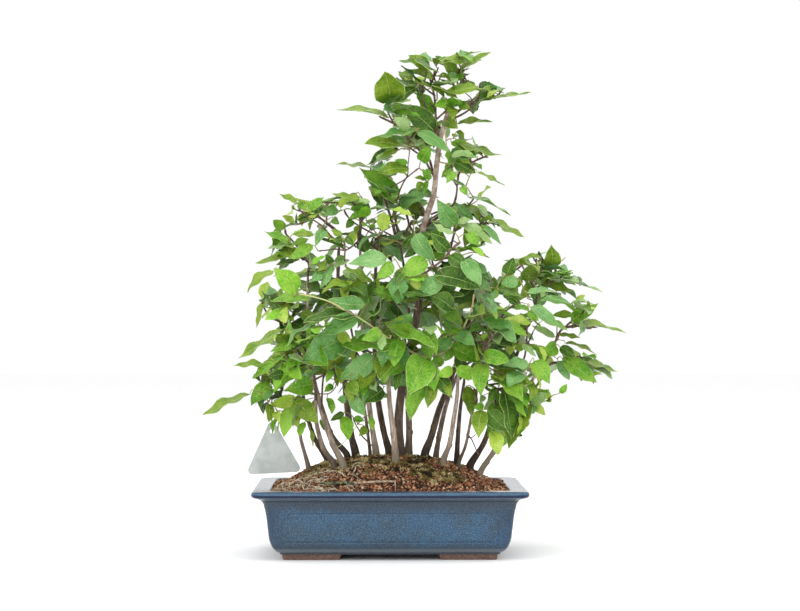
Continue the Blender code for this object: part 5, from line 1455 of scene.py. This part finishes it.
def tag_beads():
    """Beads over the hang tag, for the leaves to keep clear of."""
    low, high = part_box("hang_tag")
    middle = np.array((low.x + high.x, low.y + high.y)) / 2 - CENTRE[:2]
    z = np.arange(low.z, high.z, 0.005)
    half = np.maximum(TAG_WIDTH / 2 * (1 - (z - low.z) / TAG_HEIGHT), 0)
    spots = [(middle[0] + side * width, middle[1], level) for level, width in zip(z, half) for side in (-1, 0, 1)]
    return np.array(spots), np.full(len(spots), 0.0035)


leaders = {name: leader_of(name) for name in MASSES}
spaces = cells(leaders)
hung = tag_beads()
old_wood, green_wood, grown = [], [], {}
for name, leader in leaders.items():
    twig_length = MASSES[name][3]
    others = [*limbs.values(), *(other for key, other in leaders.items() if key != name)]
    beads = joined_beads([hung, *(limb.beads() for limb in others)])
    own = np.random.default_rng(SEED + 200 + list(MASSES).index(name))
    twigs = side_twigs(leader, twig_length, spaces[name], beads, own)
    around = joined_beads([beads, leader.beads(), *(twig.beads() for twig in twigs)])
    shoots = []
    for twig in twigs:
        clear = np.linalg.norm(around[0] - twig.at(0.5)[0], axis=1) > 0.016
        room = around[0][clear], around[1][clear]
        shoots += side_twigs(twig, twig_length * 0.55, spaces[name], room, own, SHOOT_RADIUS, 2)
    grown[name] = twigs, shoots
    old_wood += [leader, *twigs]
    green_wood += shoots

standing = np.vstack([limb.beads()[0] for limb in limbs.values()])
wooden = np.vstack((standing, *(limb.beads()[0] for limb in old_wood)))
bare_twigs = [bare_twig(row, wooden) for row in BARE_TWIGS]
pale_shoots = [bare_twig(row, wooden) for row in PALE_SHOOTS]
bared = bare_twigs + pale_shoots
thick = joined_beads([hung, *(limb.beads() for limb in (*limbs.values(), *bared))])
bearing = np.vstack([limb.beads(0.003)[0] for limb in old_wood + green_wood + bared])
leading, led_shoots = [], []
for shade, rows in LEADING_LEAVES.items():
    for row in rows:
        leaf, shoot = leading_leaf(row, shade, bearing, thick)
        leading.append(leaf)
        if shoot:
            led_shoots.append(shoot)
            bearing = np.vstack((bearing, shoot.beads(0.003)[0]))
green_wood += led_shoots
wood_spots, wood_depths = seen(standing)
bare = [np.argmin(np.linalg.norm(wood_spots - pixel, axis=1)) for pixel in WOOD_SHOWS]
led_spots, led_depths = seen(np.array([leaf.at(*spot) for leaf in leading for spot in HIDDEN_SPOTS]))
twig_spots, twig_depths = seen(np.vstack([limb.points[1::3] for limb in bared]))
hung_depths = np.full(len(THREAD_SHOWS), seen(hung[0])[1].mean() + THREAD_FRONT)
shown = (
    np.vstack((led_spots, wood_spots[bare], twig_spots, THREAD_SHOWS)),
    np.concatenate((led_depths, wood_depths[bare], twig_depths, hung_depths)),
)
led_beads = [leaf.beads() for leaf in leading] + [shoot.beads() for shoot in led_shoots]

sprays = []
for name, (twigs, shoots) in grown.items():
    _, _, _, _, leaf_length, hang = MASSES[name]
    around = joined_beads([thick, *(limb.beads() for limb in old_wood + green_wood), *led_beads])
    own = np.random.default_rng(SEED + 300 + list(MASSES).index(name))
    sideways = AIRY_MOST * (MASSES[name][2][0] - AIRY_RIGHT) / AIRY_WIDTH
    airy = np.clip(max((MASSES[name][2][2] - AIRY_FROM) / AIRY_SPAN, sideways), 0, 1)
    wider, leaf_length = 1 + AIRY_SPACING * airy, leaf_length * (1 + AIRY_LENGTH * airy)
    bearers = [(leaders[name], LEADER_SPACING * wider, 1.0)]
    bearers += [(twig, TWIG_SPACING * wider, 1.0) for twig in twigs]
    bearers += [(shoot, SHOOT_SPACING * wider, 0.90) for shoot in shoots]
    sprays.append(leaves_of(bearers, leaf_length, hang, spaces[name], around, shown, own))


def cut_back(woods, borne):
    """The limbs that bear something, each cut off just past the last of the places that it bears."""
    kept = []
    for limb in woods:
        spots, radii = limb.beads()
        apart = np.linalg.norm(spots[:, None] - borne[None], axis=2).min(axis=1)
        bearing = np.nonzero(apart < radii + BORNE_WITHIN)[0]
        if len(bearing) and bearing[-1] > 0:
            share = min((bearing[-1] + 0.5) / (len(spots) - 1), 1.0)
            inner = limb.along < share * limb.along[-1] - BORNE_WITHIN
            tip, _, tip_radius = limb.at(share)
            kept.append(Limb(np.vstack((limb.points[inner], tip)), np.append(limb.radii[inner], tip_radius)))
    return kept


def twig_sleeve(limb, sides, into=0.0016):
    """A twig's skin, with its start run back into what bears it and its tip drawn to a point."""
    route = smooth_route(limb.points, 0.004)
    route[0] -= unit(route[1] - route[0]) * into
    radii = np.interp(np.linspace(0, 1, len(route)), np.linspace(0, 1, len(limb.radii)), limb.radii)
    return sleeve(route, radii * np.where(np.arange(len(route)) == len(route) - 1, 0.5, 1.0), sides)


def stalk_sleeve(leaf):
    """A leaf's stalk, from its node up into the base of the midrib, in a slight bow."""
    span = leaf.root - leaf.node
    end = leaf.root + leaf.axis * leaf.length * 0.10
    middle = leaf.node + span * 0.6 + np.array((0, 0, 0.05 * leaf.length))
    route = np.array((leaf.node, middle, leaf.root, end))
    return sleeve(route, np.array((0.00052, 0.00042, 0.00038, 0.00020)), 5)


blades = leading + [leaf for spray in sprays for _, leaf in spray]
borne = np.vstack([leaf.node for leaf in blades] + [limb.points[0] for limb in bared + led_shoots])
green_wood = cut_back(green_wood[: -len(led_shoots)], borne) + led_shoots
borne = np.vstack([borne] + [limb.points[0] for limb in green_wood])
side_wood = [limb for limb in old_wood if limb not in leaders.values()]
side_wood = cut_back(side_wood, borne)
borne = np.vstack([borne] + [limb.points[0] for limb in side_wood])
old_wood = cut_back(leaders.values(), borne) + side_wood
twig_bark = Finish("twig_bark", 0.75, Specular_IOR_Level=0.3).mottle(500.0, (70, 52, 44), (122, 98, 84))
shoot_bark = Finish("green_shoot", 0.6, Specular_IOR_Level=0.3).mottle(300.0, (122, 104, 64), (140, 140, 78))
stalk_skin = Finish("leaf_stalk", 0.6, Specular_IOR_Level=0.3).mottle(300.0, (156, 140, 92), (150, 168, 92))
show("twigs", bundle("twigs", [twig_sleeve(limb, 7) for limb in old_wood]), twig_bark, "bark", *MASSES, sharp=180)
show("shoots", bundle("shoots", [twig_sleeve(limb, 5, 0.0006) for limb in green_wood]), shoot_bark, "leaves", sharp=180)
show("bare_twigs", bundle("bare_twigs", [budded(limb) for limb in bare_twigs]), twig_bark, "bark", sharp=180)
pale_bark = Finish("pale_shoot", 0.6, Specular_IOR_Level=0.3).mottle(60.0, (196, 168, 128), (178, 190, 122))
show("pale_shoots", bundle("pale_shoots", [budded(limb) for limb in pale_shoots]), pale_bark, "leaves", sharp=180)
show("leaf_stalks", bundle("leaf_stalks", [stalk_sleeve(leaf) for leaf in blades]), stalk_skin, "leaves", sharp=180)

# The leaves are oval with a drawn-out tip. Each blade is folded a little along its midrib, puckered
# between its side veins and wavy at its edge. They are dealt out by spray, from dark to yellow green.
LEAF_ROWS = 15
LEAF_COLUMNS = (-1.0, -0.55, 0.0, 0.55, 1.0)
LEAST_WIDTH = 0.012
VEIN_SWEEP = 0.075
VEIN_PUCKER = 0.0085
MIDRIB_SINK = 0.0035
RIB_ROWS, RIB_START, RIB_END = 8, 0.02, 0.90
RIB_WIDTH, RIB_HEIGHT, RIB_TAPER = 0.0105, 0.0090, 0.72
SIDE_VEIN_ROWS = (3, 5, 7, 9, 11)
SIDE_VEIN_STEPS = (0.02, 0.30, 0.55, 0.80, 0.97)
SIDE_VEIN_WIDTH, SIDE_VEIN_HEIGHT = 0.0042, 0.0050
VEINED_LENGTH = 0.032
RIM_ROWS, RIM_START, RIM_END = 14, 0.05, 0.97
EDGE_WIDTH, EDGE_HEIGHT = 0.0070, 0.0060
FLICK_START = 0.66
YOUNG_LENGTH = 0.0205
# Each shade drifts between two display colours
LEAF_SHADES = {
    "leaves_deep": ((40, 78, 2), (76, 114, 20)),
    "leaves_olive": ((84, 120, 2), (126, 150, 38)),
    "leaves_cool": ((70, 130, 38), (110, 158, 84)),
    # Sage's pale grey-green is partly the leaves' own colour and partly painted sheen.
    "leaves_sage": ((110, 150, 62), (146, 174, 112)),
    "leaves_fresh": ((74, 134, 4), (124, 168, 48)),
    "leaves_bright": ((98, 160, 8), (142, 186, 58)),
    "leaves_young": ((138, 172, 30), (172, 192, 88)),
}
WAXY_LEAVES = ("leaves_cool", "leaves_sage")


class Foliage:
    """Leaves as arrays with one row each: where each sits, and how its blade is bent, folded and waved."""

    def __init__(self, leaves, seed):
        own = np.random.default_rng(seed)
        spread = (len(leaves), 1, 1)
        for key in ("node", "root", "axis", "side", "normal"):
            setattr(self, key, np.array([getattr(leaf, key) for leaf in leaves])[:, None, None])
        self.length = np.array([leaf.length for leaf in leaves]).reshape(spread)
        hang = np.clip(-self.axis[..., 2], 0, 1)
        loose = 1 - np.array([leaf.flat for leaf in leaves]).reshape(spread)
        self.bend = own.uniform(0.15, 0.95, spread) * (0.4 + 0.6 * loose) + 0.45 * hang * loose
        self.flick = own.uniform(-0.04, 0.13, spread)
        self.fold = own.uniform(0.08, 0.58, spread) * loose
        self.curl = own.uniform(-0.20, 0.60, spread) * loose
        self.twist = own.uniform(-0.35, 0.35, spread)
        self.sway = own.uniform(-0.07, 0.07, spread)
        self.wave = own.uniform(0.018, 0.055, spread)
        self.phase = own.uniform(0, 2 * pi, (len(leaves), 1, 2))
        self.teeth = own.normal(size=(len(leaves), LEAF_ROWS, 2)) * 0.036
        self.breadth = own.uniform(0.82, 1.18, spread)
        self.tail = own.uniform(0.85, 1.60, spread)

    def picked(self, rows):
        """Some of the leaves, by a mask over them."""
        some = copy(self)
        for key, value in vars(self).items():
            setattr(some, key, value[rows])
        return some

    def half_width(self, t):
        """Wedged at the base, widest at two fifths, then narrowing to the drawn-out tip by the tail's power."""
        low = np.clip(t / LEAF_WIDEST, 0, 1)
        high = np.clip((t - LEAF_WIDEST) / (1 - LEAF_WIDEST), 0, 1)
        share = (1 - (1 - low) ** 2) ** 0.58 * (1 - high**1.9) ** self.tail
        return np.maximum(share, LEAST_WIDTH) * LEAF_WIDTH / 2 * self.breadth

    def points(self, t, across, raised=0.0):
        """Points at shares of the way along and across each blade, and raised over it.

        The midrib is an arc over the leaf's axis, which sways sideways, and its end flicks up. The
        halves lift from it by the fold and curl down at the edge, the edge waves, and the blade twists
        as it goes.
        """
        out = across * self.half_width(t)
        edge = np.abs(across)
        left = np.where(across < 0, self.phase[..., :1], self.phase[..., 1:])
        lift = np.abs(out) * self.fold - self.curl * out**2 * 2 + self.twist * t * out + raised
        lift = lift + self.wave * np.sin(4 * pi * t + left) * edge**2 * np.sin(pi * np.clip(t, 0, 1))
        lift = lift + self.flick * np.clip((t - FLICK_START) / (1 - FLICK_START), 0, 1) ** 2
        out = out + self.sway * np.sin(pi * t)
        turn = self.bend * (0.5 - t)
        forward = (np.sin(self.bend / 2) - np.sin(turn)) / self.bend - lift * np.sin(turn)
        upward = (np.cos(turn) - np.cos(self.bend / 2)) / self.bend + lift * np.cos(turn)
        ways = ((self.axis, forward), (self.side, out), (self.normal, upward))
        return self.root + self.length[..., None] * sum(way * amount[..., None] for way, amount in ways)


def blades_mesh(name, foliage):
    """One sheet for each leaf, whose rows sweep forwards as side veins do and lie by turns up and down."""
    step = np.arange(LEAF_ROWS)[None, :, None]
    across = np.array(LEAF_COLUMNS)[None, None, :]
    t = step / (LEAF_ROWS - 1)
    t = t + VEIN_SWEEP * np.abs(across) * np.sin(pi * t)
    across = across * np.ones((len(foliage.length), LEAF_ROWS, 1))
    across[..., [0, -1]] *= 1 + foliage.teeth
    pucker = VEIN_PUCKER * np.where(step % 2 == 0, 1.0, -1.0) * np.sin(pi * t) * (1 - 0.45 * np.abs(across))
    points = foliage.points(t, across, np.where(across == 0, -MIDRIB_SINK, pucker)).reshape(-1, 3) + CENTRE
    grid = lattice(LEAF_ROWS, len(LEAF_COLUMNS), wrapped=False)
    offsets = np.arange(len(foliage.length))[:, None, None] * LEAF_ROWS * len(LEAF_COLUMNS)
    return mesh_of(name, points, (grid[None] + offsets).reshape(-1, 4))


def ribs_of(foliage):
    """A tapering four-sided rib along each blade's middle, half of it above the sheet and half below."""
    t = np.linspace(RIB_START, RIB_END, RIB_ROWS)[None, :, None]
    taper = 1 - RIB_TAPER * t
    across = np.array((1.0, 0.0, -1.0, 0.0)) * RIB_WIDTH * taper / foliage.half_width(t)
    raised = np.array((0.0, 1.0, 0.0, -1.0)) * RIB_HEIGHT * taper - MIDRIB_SINK
    points = foliage.points(t, across, raised).reshape(-1, 3) + CENTRE
    start, end = np.arange(4)[::-1], np.arange(4) + (RIB_ROWS - 1) * 4
    quads = np.vstack((lattice(RIB_ROWS, 4), start, end))
    return points, (quads + np.arange(len(foliage.length))[:, None, None] * RIB_ROWS * 4).reshape(-1, 4)


def veins_of(foliage):
    """Side veins that run along the blade's hollowed rows, each a thin four-sided rib fading to the edge."""
    row = np.repeat(np.tile(SIDE_VEIN_ROWS, 2), len(SIDE_VEIN_STEPS))[None, :, None]
    away = np.tile(SIDE_VEIN_STEPS, 2 * len(SIDE_VEIN_ROWS))[None, :, None]
    side = np.repeat((1.0, -1.0), len(SIDE_VEIN_ROWS) * len(SIDE_VEIN_STEPS))[None, :, None]
    start = row / (LEAF_ROWS - 1)
    taper = 1 - 0.7 * away
    t = start + VEIN_SWEEP * away * np.sin(pi * start) + np.array((1.0, 0.0, -1.0, 0.0)) * SIDE_VEIN_WIDTH * taper
    raised = np.array((0.0, 1.0, 0.0, -1.0)) * SIDE_VEIN_HEIGHT * taper
    raised = raised - VEIN_PUCKER * np.sin(pi * start) * (1 - 0.45 * away)
    points = foliage.points(t, away * side + 0 * t, raised).reshape(-1, 3) + CENTRE
    steps = len(SIDE_VEIN_STEPS)
    caps = np.stack((np.arange(4)[::-1], np.arange(4) + (steps - 1) * 4))
    tube = np.vstack((lattice(steps, 4), caps))
    veins = len(foliage.length) * 2 * len(SIDE_VEIN_ROWS)
    return points, (tube + np.arange(veins)[:, None, None] * steps * 4).reshape(-1, 4)


def rims_of(foliage):
    """A thin four-sided cord along each blade's two edges, from near the stalk to near the tip."""
    start = np.tile(np.linspace(RIM_START, RIM_END, RIM_ROWS), 2)[None, :, None]
    side = np.repeat((1.0, -1.0), RIM_ROWS)[None, :, None]
    t = start + VEIN_SWEEP * np.sin(pi * start)
    across = side * (1 + np.array((1.0, 0.0, -1.0, 0.0)) * EDGE_WIDTH / foliage.half_width(t))
    pucker = 0 * t + np.array((0.0, 1.0, 0.0, -1.0)) * EDGE_HEIGHT
    points = foliage.points(t, across, pucker).reshape(-1, 3) + CENTRE
    caps = np.stack((np.arange(4)[::-1], np.arange(4) + (RIM_ROWS - 1) * 4))
    tube = np.vstack((lattice(RIM_ROWS, 4), caps))
    tubes = np.arange(2 * len(foliage.length))[:, None, None] * RIM_ROWS * 4
    return points, (tube + tubes).reshape(-1, 4)


def leaf_finish(name, shade):
    """Leaf green that drifts a little from place to place, finely pitted, with a waxy bloom on some."""
    waxy = name in WAXY_LEAVES
    skin = Finish(
        name,
        0.40 if waxy else 0.50,
        Specular_IOR_Level=0.62 if waxy else 0.36,
        Sheen_Weight=0.10 if waxy else 0.02,
    )
    dark, light = (colour(*tone) for tone in shade)
    cells = skin.place.noise(620.0, 3.0, 0.65)
    skin.relief(cells, 0.0006)
    return skin.paint((skin.place.noise(70.0) * 0.45 + cells * 0.55).clear_of(0.41, 0.59).blend(dark, light))


deal = np.random.default_rng(SEED + 900)
dealt_out = {name: [] for name in LEAF_SHADES}
for mass, spray in zip(MASSES, sprays):
    twig_shade = {}
    low_down = np.clip((0.26 - MASSES[mass][2][2]) / 0.14, 0, 1)
    odds = np.array((0.18 - 0.08 * low_down, 0.22, 0.20, 0.17, 0.18 + 0.06 * low_down, 0.05 + 0.07 * low_down))
    for number, leaf in spray:
        if number not in twig_shade:
            twig_shade[number] = int(deal.choice(6, p=odds / odds.sum()))
        shade = int(np.clip(twig_shade[number] + deal.choice((-1, 0, 1), p=(0.18, 0.64, 0.18)), 0, 5))
        if leaf.length < YOUNG_LENGTH:
            shade = 6
        dealt_out[list(LEAF_SHADES)[shade]].append(leaf)
for leaf in leading:
    dealt_out[leaf.shade].append(leaf)
ribs_and_lit_edges, side_veins = [], []
for number, (name, leaves) in enumerate(dealt_out.items()):
    foliage = Foliage(leaves, SEED + 950 + number)
    show(name, blades_mesh(name, foliage), leaf_finish(name, LEAF_SHADES[name]), "leaves", sharp=180)
    large = foliage.picked(np.array([leaf.shade is not None or leaf.length > VEINED_LENGTH for leaf in leaves]))
    # The pale cords along the large blades' edges take the midribs' green as a painted highlight along the leaf edges.
    ribs_and_lit_edges += [ribs_of(foliage), rims_of(large)]
    side_veins.append(veins_of(large))
for name, parts, dull, pale in (
    ("midribs_and_edge_highlights", ribs_and_lit_edges, (132, 164, 76), (178, 198, 126)),
    ("side_veins", side_veins, (118, 158, 72), (156, 184, 110)),
):
    starts = np.cumsum([0] + [len(points) for points, _ in parts[:-1]])
    points = np.vstack([points for points, _ in parts])
    quads = np.vstack([quads + start for start, (_, quads) in zip(starts, parts)])
    rib_skin = Finish(name, 0.55, Specular_IOR_Level=0.3).mottle(300.0, dull, pale)
    show(name, mesh_of(name, points, quads), rib_skin, "leaves", sharp=180)

# The hang tag is a bare rounded triangle of silver-grey card on a loop of black thread, which goes
# over a twig at the far left and through a hole near the tag's top.
TAG_THICKNESS = 0.0008
TAG_CORNER = 0.0037
TAG_HOLE_RADIUS, TAG_HOLE_DROP = 0.0021, 0.0125
TAG_TILT = radians(3.0)
TAG_AT = (-0.103, 0.0706)
THREAD_RADIUS, THREAD_SLACK = 0.00042, 0.0004


def arc(centre, radius, start, end, steps):
    turns = np.linspace(start, end, steps + 1)
    return [(centre[0] + radius * cos(turn), centre[1] + radius * sin(turn)) for turn in turns]


def tag_outline():
    """The tag's edge and its hole, in X and Z, with the foot of the tag at height 0."""
    slope = atan2(TAG_HEIGHT, TAG_WIDTH / 2)
    corners = ((-TAG_WIDTH / 2, 0.0), (TAG_WIDTH / 2, 0.0), (0.0, TAG_HEIGHT))
    halves = slope / 2, slope / 2, pi / 2 - slope
    edge = []
    for i, (corner, half) in enumerate(zip(corners, halves)):
        before, after = corners[i - 1], corners[(i + 1) % 3]
        inward = unit(unit(np.subtract(before, corner)) + unit(np.subtract(after, corner)))
        centre = np.array(corner) + inward * TAG_CORNER / sin(half)
        middle = atan2(-inward[1], -inward[0])
        spread = pi / 2 - half
        edge += arc(centre, TAG_CORNER, middle - spread, middle + spread, 10)
    hole = arc((0.0, TAG_HEIGHT - TAG_HOLE_DROP), TAG_HOLE_RADIUS, 0, 2 * pi * 31 / 32, 31)
    return edge, hole


def tag_mesh(y):
    """A flat plate filled between the edge and the hole, with a fine bevel, stood upright."""
    curve = bpy.data.curves.new("tag", "CURVE")
    curve.dimensions, curve.fill_mode = "2D", "BOTH"
    curve.extrude, curve.bevel_depth, curve.bevel_resolution = TAG_THICKNESS / 2 - 0.00015, 0.00015, 2
    curve.offset = -0.00015
    for outline in tag_outline():
        spline = curve.splines.new("POLY")
        spline.points.add(len(outline) - 1)
        spline.use_cyclic_u = True
        for bead, (x, z) in zip(spline.points, outline):
            bead.co = (x, z, 0.0, 1.0)
    thing = bpy.data.objects.new("tag", curve)
    bpy.context.scene.collection.objects.link(thing)
    mesh = bpy.data.meshes.new_from_object(thing.evaluated_get(bpy.context.evaluated_depsgraph_get()))
    bpy.data.objects.remove(thing)
    hole = Vector((0, TAG_HEIGHT - TAG_HOLE_DROP, 0))
    askew = Matrix.Translation(hole) @ Matrix.Rotation(TAG_TILT, 4, "Z") @ Matrix.Translation(-hole)
    stand = Matrix.Translation((TAG_AT[0] + CENTRE[0], y + CENTRE[1], TAG_AT[1])) @ Matrix.Rotation(pi / 2, 4, "X")
    mesh.transform(stand @ askew)
    return mesh


def thread_loop():
    """A closed loop in the plane across the twig: round over the twig, and down through the tag's hole."""
    beads, radii = limbs["bough_far_left"].beads()
    nearest = int(np.abs(beads[:, 0] - TAG_AT[0]).argmin())
    x, y, z = beads[nearest]
    half = radii[nearest] + GAP + THREAD_RADIUS + THREAD_SLACK
    crown = z + radii[nearest] * sqrt(2) + THREAD_RADIUS
    foot = TAG_AT[1] + TAG_HEIGHT - TAG_HOLE_DROP + TAG_HOLE_RADIUS
    loop = [(x, y + across, crown + up) for across, up in arc((0, 0), half, 0, pi, 12)]
    loop += [(x, y + across, foot + half + up) for across, up in arc((0, 0), half, pi, 2 * pi, 12)]
    return smooth_route(loop + loop[:1], 0.0012), y


def ring_mesh(name, route, radius, sides):
    """A tube round a closed route, with its last ring joined to its first."""
    verts, quads, _ = sleeve(route[:-1], np.full(len(route) - 1, radius), sides)
    verts = verts[:-2]
    last, ring = len(verts) - sides, np.arange(sides)
    seam = np.column_stack((last + ring, last + np.roll(ring, -1), np.roll(ring, -1), ring))
    return mesh_of(name, verts + CENTRE, np.vstack((quads, seam)))


silver = Finish("silver_card", 0.38, Metallic=0.35, Specular_IOR_Level=0.5)
sheen = silver.place.noise(90.0, 3.0, 0.6)
silver.paint(sheen.clear_of(0.3, 0.7).blend(colour(150, 155, 153), colour(168, 172, 170)))
silver.relief(silver.place.noise(2500.0, 2.0, 0.5), 0.00008)
cotton = Finish("black_thread", 0.8, Specular_IOR_Level=0.3)
twine = cotton.place.noise(3000.0, 2.0, 0.5)
cotton.paint(twine.clear_of(0.3, 0.7).blend(colour(18, 18, 18), colour(52, 52, 50)))
thread_route, tag_y = thread_loop()
show("tag_plate", tag_mesh(tag_y), silver, "silver_tag", "hang_tag", sharp=30)
show("tag_thread", ring_mesh("tag_thread", thread_route, THREAD_RADIUS, 8), cotton, "silver_tag", sharp=180)

# The stage: a pale floor, big soft lights above, left and right, and the camera at
# the photograph's height, straight in front of the pot.
FLOOR_SIZE = 12.0

floor_mesh = mesh_of(
    "floor",
    np.array(((-1, -1, 0), (1, -1, 0), (1, 1, 0), (-1, 1, 0))) * FLOOR_SIZE / 2,
    np.array(((0, 1, 2, 3),)),
)
floor = bpy.data.objects.new("floor", floor_mesh)
paper = Finish("pale_paper", 0.9, Specular_IOR_Level=0.2).mottle(40.0, (251, 251, 251), (253, 253, 253))
floor_mesh.materials.append(paper.material)
bpy.context.scene.collection.objects.link(floor)

for name, place, size, power, tint in (
    ("light_top", (0.1, -0.5, 1.9), 1.6, 18, (1.0, 1.0, 1.0)),
    ("light_left", (-1.8, -1.1, 1.1), 1.3, 10, (0.98, 0.99, 1.0)),
    ("light_right", (1.9, -0.9, 0.9), 1.3, 6, (1.0, 0.98, 0.95)),
    ("light_front", (-0.3, -2.4, 0.4), 1.2, 16, (1.0, 1.0, 0.98)),
    ("light_back", (0.2, 1.8, 1.2), 1.6, 8, (1.0, 1.0, 1.0)),
):
    lamp = bpy.data.lights.new(name, "AREA")
    lamp.shape, lamp.size, lamp.energy, lamp.color = "SQUARE", size, power, tint
    light = bpy.data.objects.new(name, lamp)
    light.location = place
    light.rotation_euler = (Vector((0, 0, 0.2)) - Vector(place)).to_track_quat("-Z", "Y").to_euler()
    bpy.context.scene.collection.objects.link(light)

sky = bpy.data.worlds.new("sky")
sky.use_nodes = True
sky.node_tree.nodes["Background"].inputs["Color"].default_value = (1.0, 1.0, 1.0, 1.0)
sky.node_tree.nodes["Background"].inputs["Strength"].default_value = 1.0
bpy.context.scene.world = sky
bpy.context.scene.view_settings.view_transform = "Standard"

eye = bpy.data.objects.new("eye", bpy.data.cameras.new("eye"))
eye.data.sensor_width, eye.data.lens, eye.data.clip_end = SENSOR, LENS, 30.0
eye.location = Vector(EYE + CENTRE)
eye.rotation_euler = (radians(90) + EYE_PITCH, 0.0, -EYE_YAW)
bpy.context.scene.collection.objects.link(eye)
bpy.context.scene.camera = eye
